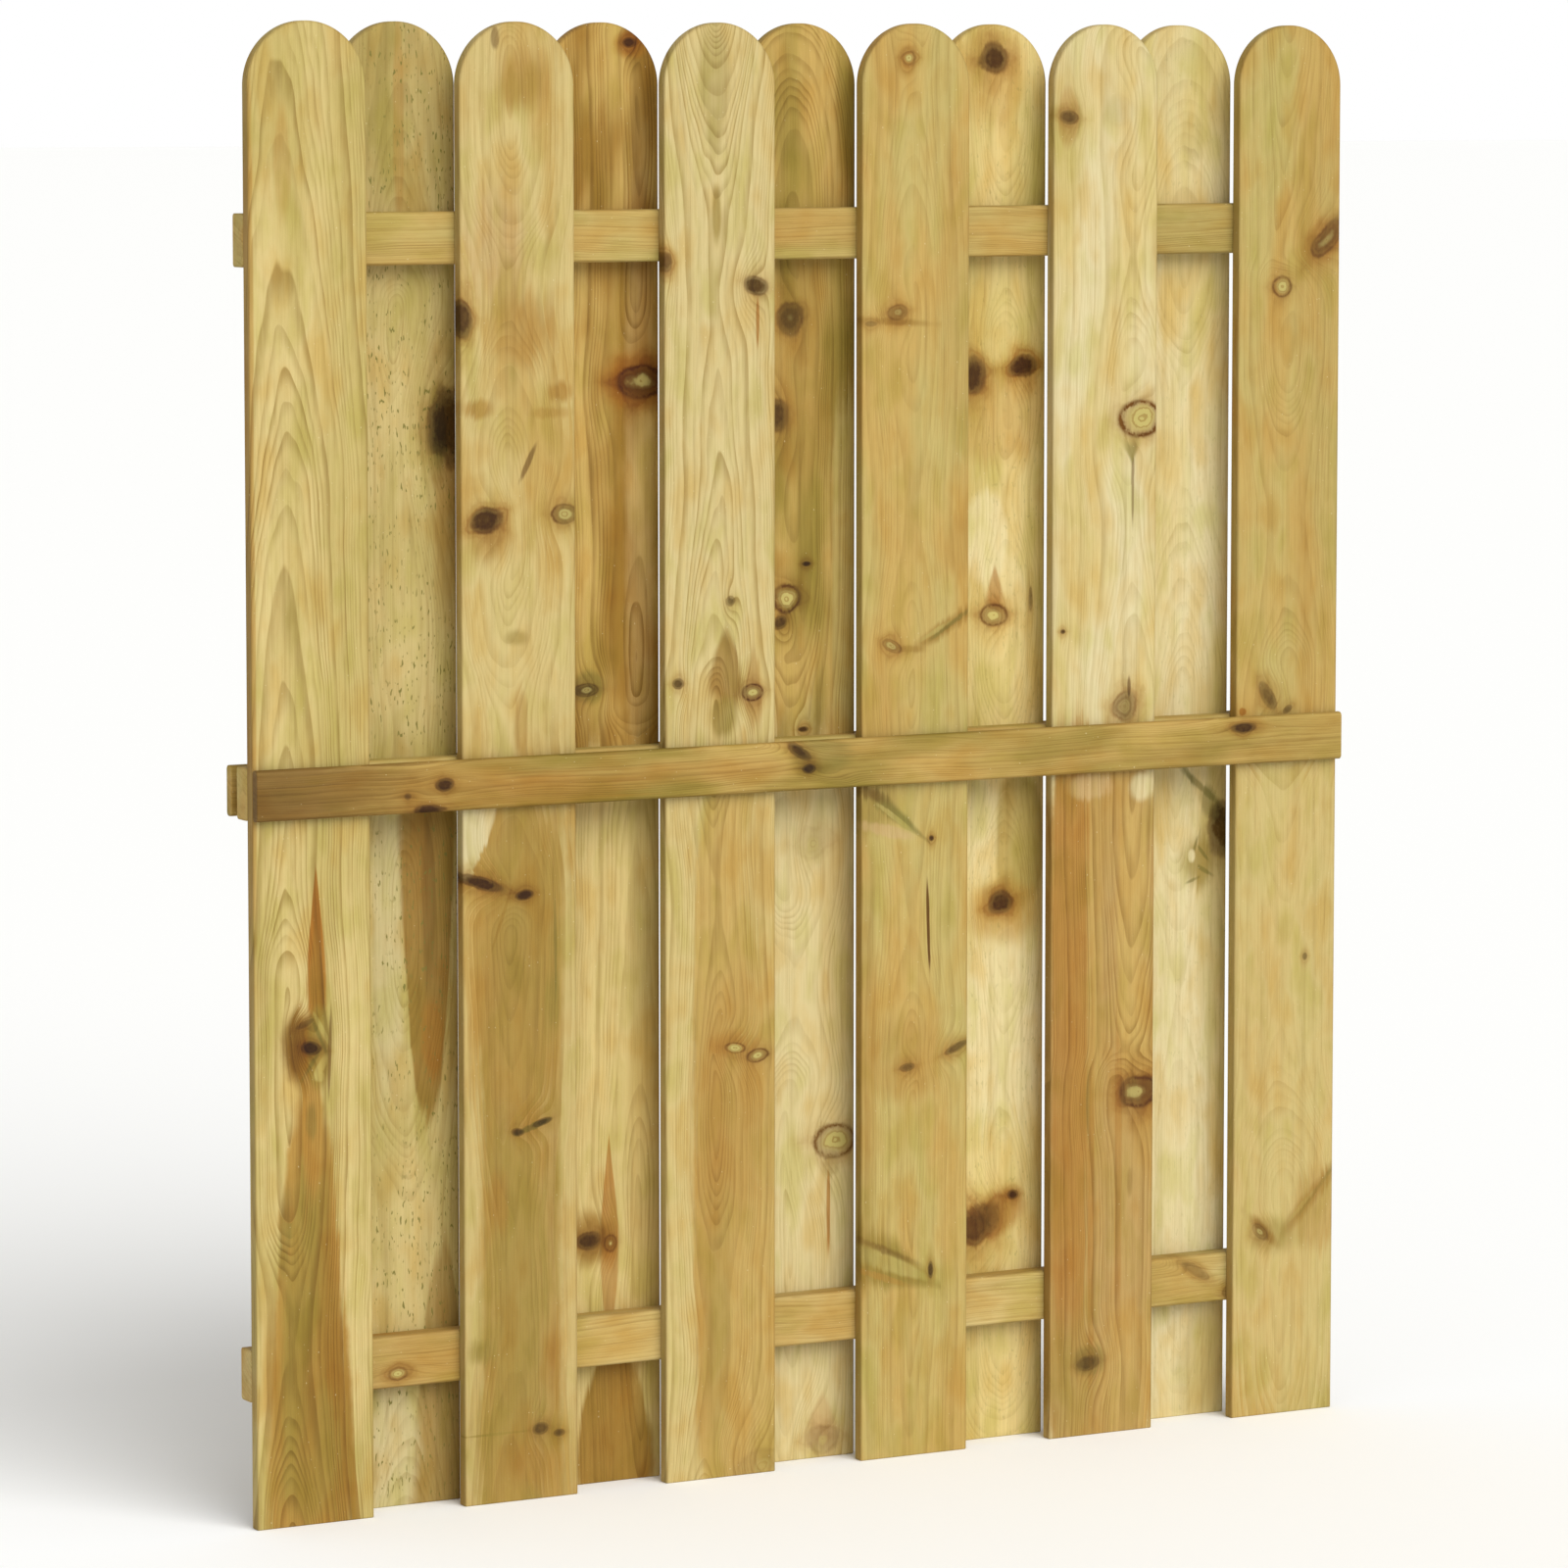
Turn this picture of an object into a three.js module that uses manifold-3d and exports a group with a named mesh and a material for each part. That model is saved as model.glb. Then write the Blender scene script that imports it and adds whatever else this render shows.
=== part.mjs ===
// A double-sided garden gate leaf in pressure-treated pine. Round-topped boards stand on both faces of three
// inner rails, the back row covering the gaps of the front row. A thinner cover rail crosses each face at
// mid height. Wire staples, driven from both faces, hold it together.
//
// Units are millimetres. +X runs along the leaf to the right, +Y goes through it from front to back and +Z is
// up. The origin is on the ground, in the middle of the leaf.

import * as THREE from 'three';
import { mergeVertices } from 'three/addons/utils/BufferGeometryUtils.js';
import Module from 'manifold-3d';

const wasm = await Module();
wasm.setup();

// ---- Driving dimensions ----

const LEAF_WIDTH = 1450;          // over the outer edges of the front boards
const LEAF_HEIGHT = 1700;         // ground to the crown of the round tops
const FRONT_BOARDS = 6;

const BOARD_WIDTH = 145;
const BOARD_THICKNESS = 15;
const BOARD_EASING = 1.5;         // chamfer round each face of a board

const RAIL_HEIGHT = 60;           // inner rails, between the two rows of boards
const RAIL_DEPTH = 28;
const RAIL_ROUNDING = 4;

const COVER_HEIGHT = 58;          // cover rails, over the boards
const COVER_DEPTH = 13;
const COVER_ROUNDING = 5;

const TOP_RAIL_DROP = 244;        // leaf's top down to the top rail's centre line
const MIDDLE_RAIL_RISE = 836;     // ground to the middle rails' centre line
const BOTTOM_RAIL_RISE = 174;     // ground to the bottom rail's centre line

const STAPLE_CROWN = 11;          // outside width of a staple
const STAPLE_WIRE = 1.6;          // square wire
const STAPLE_POINT = 2.5;         // length of the slanted points
const STAPLE_SINK = 0.8;          // wood's surface down to the crown
const STAPLE_TIP_COVER = 4;       // wood left beyond a staple's points
const STAPLE_CLEARANCE = 0.3;     // all round a staple, to the wood
const COVER_STAPLE_OFFSET = 45;   // short staples, from a board's centre line

const ARC_STEPS = 28;             // facets of a board's round top
const ROUNDING_STEPS = 3;         // facets of a rail's rounded edge

// ---- Sizes that follow ----

const BACK_BOARDS = FRONT_BOARDS - 1;
const BOARD_PITCH = (LEAF_WIDTH - BOARD_WIDTH) / (FRONT_BOARDS - 1);
const TOP_RAIL_RISE = LEAF_HEIGHT - TOP_RAIL_DROP;

// One side of the leaf is built facing -Y: these planes count outwards from the leaf's middle plane.
const BOARD_BACK_Y = -RAIL_DEPTH / 2;
const BOARD_FACE_Y = BOARD_BACK_Y - BOARD_THICKNESS;
const COVER_FACE_Y = BOARD_FACE_Y - COVER_DEPTH;

// How far in from its surface a staple's points reach, for each use.
const RAIL_BITE = RAIL_DEPTH - STAPLE_TIP_COVER;
const BOARD_STAPLE_REACH = BOARD_THICKNESS + RAIL_BITE;
const MIDDLE_STAPLE_REACH = COVER_DEPTH + BOARD_THICKNESS + RAIL_BITE;
const COVER_STAPLE_REACH = COVER_DEPTH + BOARD_THICKNESS - STAPLE_TIP_COVER;

const X_AXIS = new THREE.Vector3(1, 0, 0);
const Y_AXIS = new THREE.Vector3(0, 1, 0);
const Z_AXIS = new THREE.Vector3(0, 0, 1);

// ---- Materials ----

const wood = (color, roughness) => new THREE.MeshStandardMaterial({ color, roughness, metalness: 0 });

const MATERIALS = {
	frontBoard: wood(0xd3bd80, 0.72),
	backBoard: wood(0xb29f66, 0.75),
	rail: wood(0xc8a862, 0.7),
	coverRail: wood(0xaa8b48, 0.7),
	staple: new THREE.MeshStandardMaterial({ color: 0xa9abad, roughness: 0.35, metalness: 1 }),
};

// ---- Solids: closed meshes cut by manifold-3d ----

function solidOf(geometry) {

	const bare = geometry.clone();
	bare.deleteAttribute('normal');
	bare.deleteAttribute('uv');
	const merged = mergeVertices(bare, 1e-4);
	return new wasm.Manifold(new wasm.Mesh({
		numProp: 3,
		vertProperties: Float32Array.from(merged.attributes.position.array),
		triVerts: Uint32Array.from(merged.index.array),
	}));

}

function geometryOf(solid) {

	const mesh = solid.getMesh();
	const geometry = new THREE.BufferGeometry();
	geometry.setAttribute('position', new THREE.BufferAttribute(mesh.vertProperties, 3));
	geometry.setIndex(new THREE.BufferAttribute(mesh.triVerts, 1));
	geometry.computeVertexNormals();
	return geometry;

}

function cutForStaples(geometry, staples) {

	let solid = solidOf(geometry);
	for (const staple of staples) solid = solid.subtract(solidOf(slotGeometry(staple)));
	return geometryOf(solid);

}

// ---- Boards ----

// A board stands on the origin with its inner face in the XZ plane, and faces -Y.
function boardGeometry() {

	const half = BOARD_WIDTH / 2;
	const outline = new THREE.Shape();
	outline.moveTo(-half, 0);
	outline.lineTo(half, 0);
	outline.absarc(0, LEAF_HEIGHT - half, half, 0, Math.PI);
	outline.closePath();

	const geometry = new THREE.ExtrudeGeometry(outline, {
		depth: BOARD_THICKNESS - 2 * BOARD_EASING,
		curveSegments: ARC_STEPS,
		bevelThickness: BOARD_EASING,
		bevelSize: BOARD_EASING,
		bevelOffset: -BOARD_EASING,
		bevelSegments: 1,
	});
	geometry.translate(0, 0, BOARD_EASING);
	return geometry.applyMatrix4(new THREE.Matrix4().makeBasis(X_AXIS, Z_AXIS, Y_AXIS.clone().negate()));

}

// ---- Rails ----

function roundedRectangle(width, height, radius) {

	const x = width / 2 - radius;
	const y = height / 2 - radius;
	const shape = new THREE.Shape();
	shape.absarc(x, y, radius, 0, Math.PI / 2);
	shape.absarc(-x, y, radius, Math.PI / 2, Math.PI);
	shape.absarc(-x, -y, radius, Math.PI, 1.5 * Math.PI);
	shape.absarc(x, -y, radius, 1.5 * Math.PI, 2 * Math.PI);
	shape.closePath();
	return shape;

}

// A rail lies along X, centred on the origin.
function railGeometry(depth, height, rounding) {

	const radius = Math.min(rounding, depth / 3, height / 3);
	const geometry = new THREE.ExtrudeGeometry(roundedRectangle(depth, height, radius), {
		depth: LEAF_WIDTH,
		curveSegments: ROUNDING_STEPS,
		bevelEnabled: false,
	});
	geometry.translate(0, 0, -LEAF_WIDTH / 2);
	return geometry.applyMatrix4(new THREE.Matrix4().makeBasis(Y_AXIS, Z_AXIS, X_AXIS));

}

// ---- Staples ----

// A staple's crown lies along X with its outer face in the XZ plane, and its legs point along +Y.
function stapleGeometry(reach) {

	const outer = STAPLE_CROWN / 2;
	const inner = outer - STAPLE_WIRE;
	const tip = reach - STAPLE_SINK;
	const outline = new THREE.Shape([
		new THREE.Vector2(-outer, 0),
		new THREE.Vector2(outer, 0),
		new THREE.Vector2(outer, tip - STAPLE_POINT),
		new THREE.Vector2(inner, tip),
		new THREE.Vector2(inner, STAPLE_WIRE),
		new THREE.Vector2(-inner, STAPLE_WIRE),
		new THREE.Vector2(-inner, tip),
		new THREE.Vector2(-outer, tip - STAPLE_POINT),
	]);
	const geometry = new THREE.ExtrudeGeometry(outline, { depth: STAPLE_WIRE, bevelEnabled: false });
	return geometry.translate(0, 0, -STAPLE_WIRE / 2);

}

// The slot that a staple leaves in the wood: the staple grown by the clearance, and open to the outside.
function slotGeometry({ x, surfaceY, z, reach, upright, turned }) {

	const outer = STAPLE_CROWN / 2 + STAPLE_CLEARANCE;
	const inner = STAPLE_CROWN / 2 - STAPLE_WIRE - STAPLE_CLEARANCE;
	const mouth = -STAPLE_SINK - STAPLE_CLEARANCE;
	const end = reach - STAPLE_SINK + STAPLE_CLEARANCE;
	const saddle = STAPLE_WIRE + STAPLE_CLEARANCE;
	const outline = new THREE.Shape([
		new THREE.Vector2(-outer, mouth),
		new THREE.Vector2(outer, mouth),
		new THREE.Vector2(outer, end),
		new THREE.Vector2(inner, end),
		new THREE.Vector2(inner, saddle),
		new THREE.Vector2(-inner, saddle),
		new THREE.Vector2(-inner, end),
		new THREE.Vector2(-outer, end),
	]);
	const width = STAPLE_WIRE + 2 * STAPLE_CLEARANCE;
	const geometry = new THREE.ExtrudeGeometry(outline, { depth: width, bevelEnabled: false });
	geometry.translate(0, 0, -width / 2);
	if (upright) geometry.rotateY(Math.PI / 2);
	geometry.translate(x, surfaceY + STAPLE_SINK, z);
	if (turned) geometry.rotateZ(Math.PI);
	return geometry;

}

function stapleMesh(name, { x, surfaceY, z, reach, upright }) {

	const mesh = new THREE.Mesh(stapleGeometry(reach), MATERIALS.staple);
	mesh.name = name;
	mesh.position.set(x, surfaceY + STAPLE_SINK, z);
	if (upright) mesh.rotation.y = Math.PI / 2;
	return mesh;

}

// The staples of one board whose centre line is at x, as seen from its own side of the leaf.
const topStaple = (x) =>
	({ x, z: TOP_RAIL_RISE, surfaceY: BOARD_FACE_Y, reach: BOARD_STAPLE_REACH, upright: true });
const bottomStaple = (x) =>
	({ x, z: BOTTOM_RAIL_RISE, surfaceY: BOARD_FACE_Y, reach: BOARD_STAPLE_REACH, upright: true });
const middleStaple = (x) =>
	({ x, z: MIDDLE_RAIL_RISE, surfaceY: COVER_FACE_Y, reach: MIDDLE_STAPLE_REACH, upright: false });
const coverStaple = (x) => ({
	x: x + COVER_STAPLE_OFFSET,
	z: MIDDLE_RAIL_RISE,
	surfaceY: COVER_FACE_Y,
	reach: COVER_STAPLE_REACH,
	upright: false,
});

// ---- Assembly ----

// Centre lines of a row of boards, from the side's own left to its right.
const centreLines = (count) =>
	Array.from({ length: count }, (_, i) => (i - (count - 1) / 2) * BOARD_PITCH);

function placed(name, geometry, material, x, y, z) {

	const mesh = new THREE.Mesh(geometry, material);
	mesh.name = name;
	mesh.position.set(x, y, z);
	return mesh;

}

// One face of the leaf, facing -Y: its boards, their staples and the cover rail.
function faceOfLeaf(side, count, boardMaterial) {

	const face = new THREE.Group();
	const lines = centreLines(count);
	// The back is seen from behind here, so its boards are numbered from the other end.
	const number = (i) => (side === 'front' ? i + 1 : count - i);

	const ownStaples = [topStaple(0), middleStaple(0), coverStaple(0), bottomStaple(0)];
	const inBoard = ownStaples.map((s) => ({ ...s, surfaceY: s.surfaceY - BOARD_BACK_Y }));
	const board = cutForStaples(boardGeometry(), inBoard);

	const throughCover = lines.flatMap((x) => [middleStaple(x), coverStaple(x)]);
	const coverY = (BOARD_FACE_Y + COVER_FACE_Y) / 2;
	const inCover = throughCover.map((s) => ({ ...s, surfaceY: s.surfaceY - coverY, z: 0 }));
	const cover = cutForStaples(railGeometry(COVER_DEPTH, COVER_HEIGHT, COVER_ROUNDING), inCover);

	lines.forEach((x, i) => {

		face.add(placed(`${side}_board_${number(i)}`, board, boardMaterial, x, BOARD_BACK_Y, 0));
		face.add(stapleMesh(`${side}_top_staple_${number(i)}`, topStaple(x)));
		face.add(stapleMesh(`${side}_middle_staple_${number(i)}`, middleStaple(x)));
		face.add(stapleMesh(`${side}_cover_staple_${number(i)}`, coverStaple(x)));
		face.add(stapleMesh(`${side}_bottom_staple_${number(i)}`, bottomStaple(x)));

	});
	face.add(placed(`${side}_cover_rail`, cover, MATERIALS.coverRail, 0, coverY, MIDDLE_RAIL_RISE));
	return face;

}

// An inner rail, with the leg holes of the staples that reach it from both faces.
function innerRail(name, rise, stapleAt) {

	const staples = [
		...centreLines(FRONT_BOARDS).map((x) => stapleAt(x)),
		...centreLines(BACK_BOARDS).map((x) => ({ ...stapleAt(x), turned: true })),
	];
	const inRail = staples.map((s) => ({ ...s, z: 0 }));
	const geometry = cutForStaples(railGeometry(RAIL_DEPTH, RAIL_HEIGHT, RAIL_ROUNDING), inRail);
	return placed(name, geometry, MATERIALS.rail, 0, 0, rise);

}

const gateLeaf = new THREE.Group();

gateLeaf.add(innerRail('top_rail', TOP_RAIL_RISE, topStaple));
gateLeaf.add(innerRail('middle_rail', MIDDLE_RAIL_RISE, middleStaple));
gateLeaf.add(innerRail('bottom_rail', BOTTOM_RAIL_RISE, bottomStaple));

const front = faceOfLeaf('front', FRONT_BOARDS, MATERIALS.frontBoard);
const back = faceOfLeaf('back', BACK_BOARDS, MATERIALS.backBoard);
back.rotation.z = Math.PI;
gateLeaf.add(front, back);

export default gateLeaf;
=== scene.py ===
# The looks of a double-sided garden gate leaf in pressure-treated pine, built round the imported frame.
import math
from functools import partial
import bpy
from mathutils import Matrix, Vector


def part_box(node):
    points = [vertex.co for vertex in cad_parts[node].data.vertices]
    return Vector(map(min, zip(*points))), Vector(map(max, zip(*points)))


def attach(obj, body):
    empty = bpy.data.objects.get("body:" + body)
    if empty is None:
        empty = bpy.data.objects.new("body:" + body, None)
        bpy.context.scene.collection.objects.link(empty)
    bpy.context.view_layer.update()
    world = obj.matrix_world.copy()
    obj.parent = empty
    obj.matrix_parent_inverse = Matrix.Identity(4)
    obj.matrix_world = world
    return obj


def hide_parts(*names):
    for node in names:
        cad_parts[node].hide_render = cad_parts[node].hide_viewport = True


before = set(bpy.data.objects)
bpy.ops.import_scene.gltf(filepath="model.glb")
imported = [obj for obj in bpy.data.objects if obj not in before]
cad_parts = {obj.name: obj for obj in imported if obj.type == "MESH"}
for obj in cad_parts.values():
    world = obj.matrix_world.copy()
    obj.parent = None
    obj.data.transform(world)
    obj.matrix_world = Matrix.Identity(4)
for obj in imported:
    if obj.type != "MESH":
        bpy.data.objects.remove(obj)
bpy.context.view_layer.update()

from types import SimpleNamespace
from typing import NamedTuple

import bmesh
import bpy
from bpy.props import FloatProperty, FloatVectorProperty, IntProperty, PointerProperty
from bpy.types import Operator, Panel, PropertyGroup
from mathutils import Vector

bl_info = {
    "name": "Garden Gate Leaf",
    "version": (1, 0, 0),
    "blender": (4, 5, 0),
    "location": "View3D > Sidebar > Gate",
    "description": "Builds the boards, rails and staples of a garden gate leaf and a studio round it",
    "category": "Object",
}

BODY = "root"
SIDES = {"front": 6, "back": 5}     # boards on each side
RAILS = ("top", "middle", "bottom")
STAPLES = ("top", "middle", "cover", "bottom")
MILLIMETRES = 1000.0


# ---- Sizes, read from the frame ----

def extent(node):
    low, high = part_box(node)
    return high - low


def middle_of(node):
    low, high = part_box(node)
    return (low + high) / 2


BOARD_PITCH = middle_of("front_board_2").x - middle_of("front_board_1").x
STAPLE_CROWN = extent("front_top_staple_1").z
STAPLE_WIRE = extent("front_top_staple_1").x
STAPLE_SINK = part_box("front_top_staple_1")[0].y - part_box("front_board_1")[0].y


def srgb(red, green, blue):
    """A screen colour, 0 to 255, as the linear colour that Blender works with."""
    def linear(value):
        value /= 255
        return value / 12.92 if value <= 0.04045 else ((value + 0.055) / 1.055) ** 2.4
    return tuple(linear(value) for value in (red, green, blue))


# ---- Properties ----

def length_property(name, description, default):
    return FloatProperty(name=name, description=description, default=default, min=0.0, unit="LENGTH")


def angle_property(name, description, degrees):
    return FloatProperty(name=name, description=description, default=math.radians(degrees), subtype="ANGLE")


def colour_property(name, description, *screen_colour):
    return FloatVectorProperty(name=name, description=description, default=srgb(*screen_colour),
                               subtype="COLOR", min=0.0, max=1.0)


class GateSizes(PropertyGroup):
    board_easing: length_property("Board easing", "Rounding along the edges of a board", 0.0015)
    board_arc_steps: IntProperty(name="Round top steps", description="Facets round the top of a board",
                                 default=72, min=8)
    rail_rounding: length_property("Rail rounding", "Rounding along an inner rail", 0.004)
    cover_rounding: length_property("Cover rail rounding", "Rounding along a cover rail", 0.005)
    end_easing: length_property("End easing", "Rounding round the sawn ends of a rail", 0.0008)
    staple_clearance: length_property("Staple clearance", "Gap between a staple and the wood", 0.0003)
    staple_bend: length_property("Staple bend", "Inner radius where the crown turns into a leg", 0.0012)


class GateColours(PropertyGroup):
    ivory: colour_property("Ivory", "Palest sapwood", 220, 206, 160)
    cream: colour_property("Cream", "Pale yellow sapwood", 213, 192, 130)
    straw: colour_property("Straw", "Sapwood with a green tinge", 196, 176, 108)
    tan: colour_property("Tan", "Darker sapwood", 198, 166, 94)
    honey: colour_property("Honey", "Golden brown wood", 178, 138, 64)
    heart: colour_property("Heart", "Brown heartwood", 152, 115, 42)
    brown: colour_property("Brown", "Dark brown streaks", 106, 72, 24)
    olive: colour_property("Olive", "Wood stained olive by the treatment", 154, 132, 58)
    moss: colour_property("Moss", "Grey-green stain round a knot", 112, 106, 46)
    pink: colour_property("Pink", "Pinkish resin-rich wood", 202, 172, 120)
    resin: colour_property("Resin", "Orange-brown resin", 166, 112, 34)
    pale: colour_property("Pale knot", "Yellow-green middle of a knot", 188, 172, 100)
    knot: colour_property("Knot", "Darkens the wood in the body of a knot", 114, 94, 46)
    rim: colour_property("Knot rim", "Darkens the bark ring round a knot", 146, 106, 30)
    halo: colour_property("Knot halo", "Darkens the wood close round a knot", 188, 148, 98)
    glow: colour_property("Knot glow", "Darkens the wood further out round a knot", 228, 208, 156)


class GateStudio(PropertyGroup):
    camera_distance: length_property("Distance", "Camera to the middle of the leaf, over the ground", 7.661)
    camera_height: length_property("Height", "Camera above the ground", 1.630)
    camera_aside: FloatProperty(name="Aside", description="Line of sight past the middle of the leaf",
                                default=-0.0266, unit="LENGTH")
    camera_turn: angle_property("Turn", "Camera's angle from square on, to the left", 28.78)
    camera_pitch: angle_property("Pitch", "Camera's angle below level", 5.29)
    focal_length: FloatProperty(name="Focal length", description="Lens, in millimetres",
                                default=150.35, min=1)
    lens_shift: FloatProperty(name="Lens shift", description="Upward shift of the frame", default=-0.06)
    sun_strength: FloatProperty(name="Sun", description="Strength of the main light", default=2.4, min=0)
    sky_strength: FloatProperty(name="Sky", description="Strength of the light all round",
                                default=0.60, min=0)
    floor_colour: colour_property("Floor", "Colour of the floor", 246, 246, 244)


# ---- How the wood of each piece looks ----
#
# Places are in millimetres. Across counts from a board's left edge, or down from a rail's top edge. Along
# counts up from a board's foot, or to the right from a rail's left end.

class Knot(NamedTuple):
    across: float
    along: float
    wide: float                # across the grain
    high: float                # along the grain
    tilt: float = 0.0          # degrees, anticlockwise
    dark: float = 1.0
    halo: float = 0.5
    pale: float = 0.0


class Stain(NamedTuple):
    tint: str
    across: float
    along: float
    wide: float
    high: float
    strength: float = 0.6
    tilt: float = 0.0
    taper: float = 0.0         # 1 widens it upwards from a point, -1 downwards
    edge: float = 0.6          # softness of its outline


class Look(NamedTuple):
    tone: str
    second_tone: str
    heart: float               # where the middle of the trunk lies, across
    figure: tuple              # (along, depth of the middle of the trunk below the face) pairs
    gap: float = 4.5           # between growth rings
    contrast: tuple = (0.3, 0.3)   # of the growth rings, above and below the cover rail
    specks: float = 0.0
    stains: tuple = ()
    knots: tuple = ()
    light: float = 1.0         # brightness of its sapwood and stains

    def tint(self, colours, name):
        return tuple(min(part * self.light, 1.0) for part in getattr(colours, name))


# A stain is written by its colour: honey(across, along, wide, high, strength).
ivory, cream, straw, tan, honey, heart, brown, olive, moss, pink, resin, pale = (
    partial(Stain, tint) for tint in ("ivory", "cream", "straw", "tan", "honey", "heart", "brown", "olive",
                                      "moss", "pink", "resin", "pale"))

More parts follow.
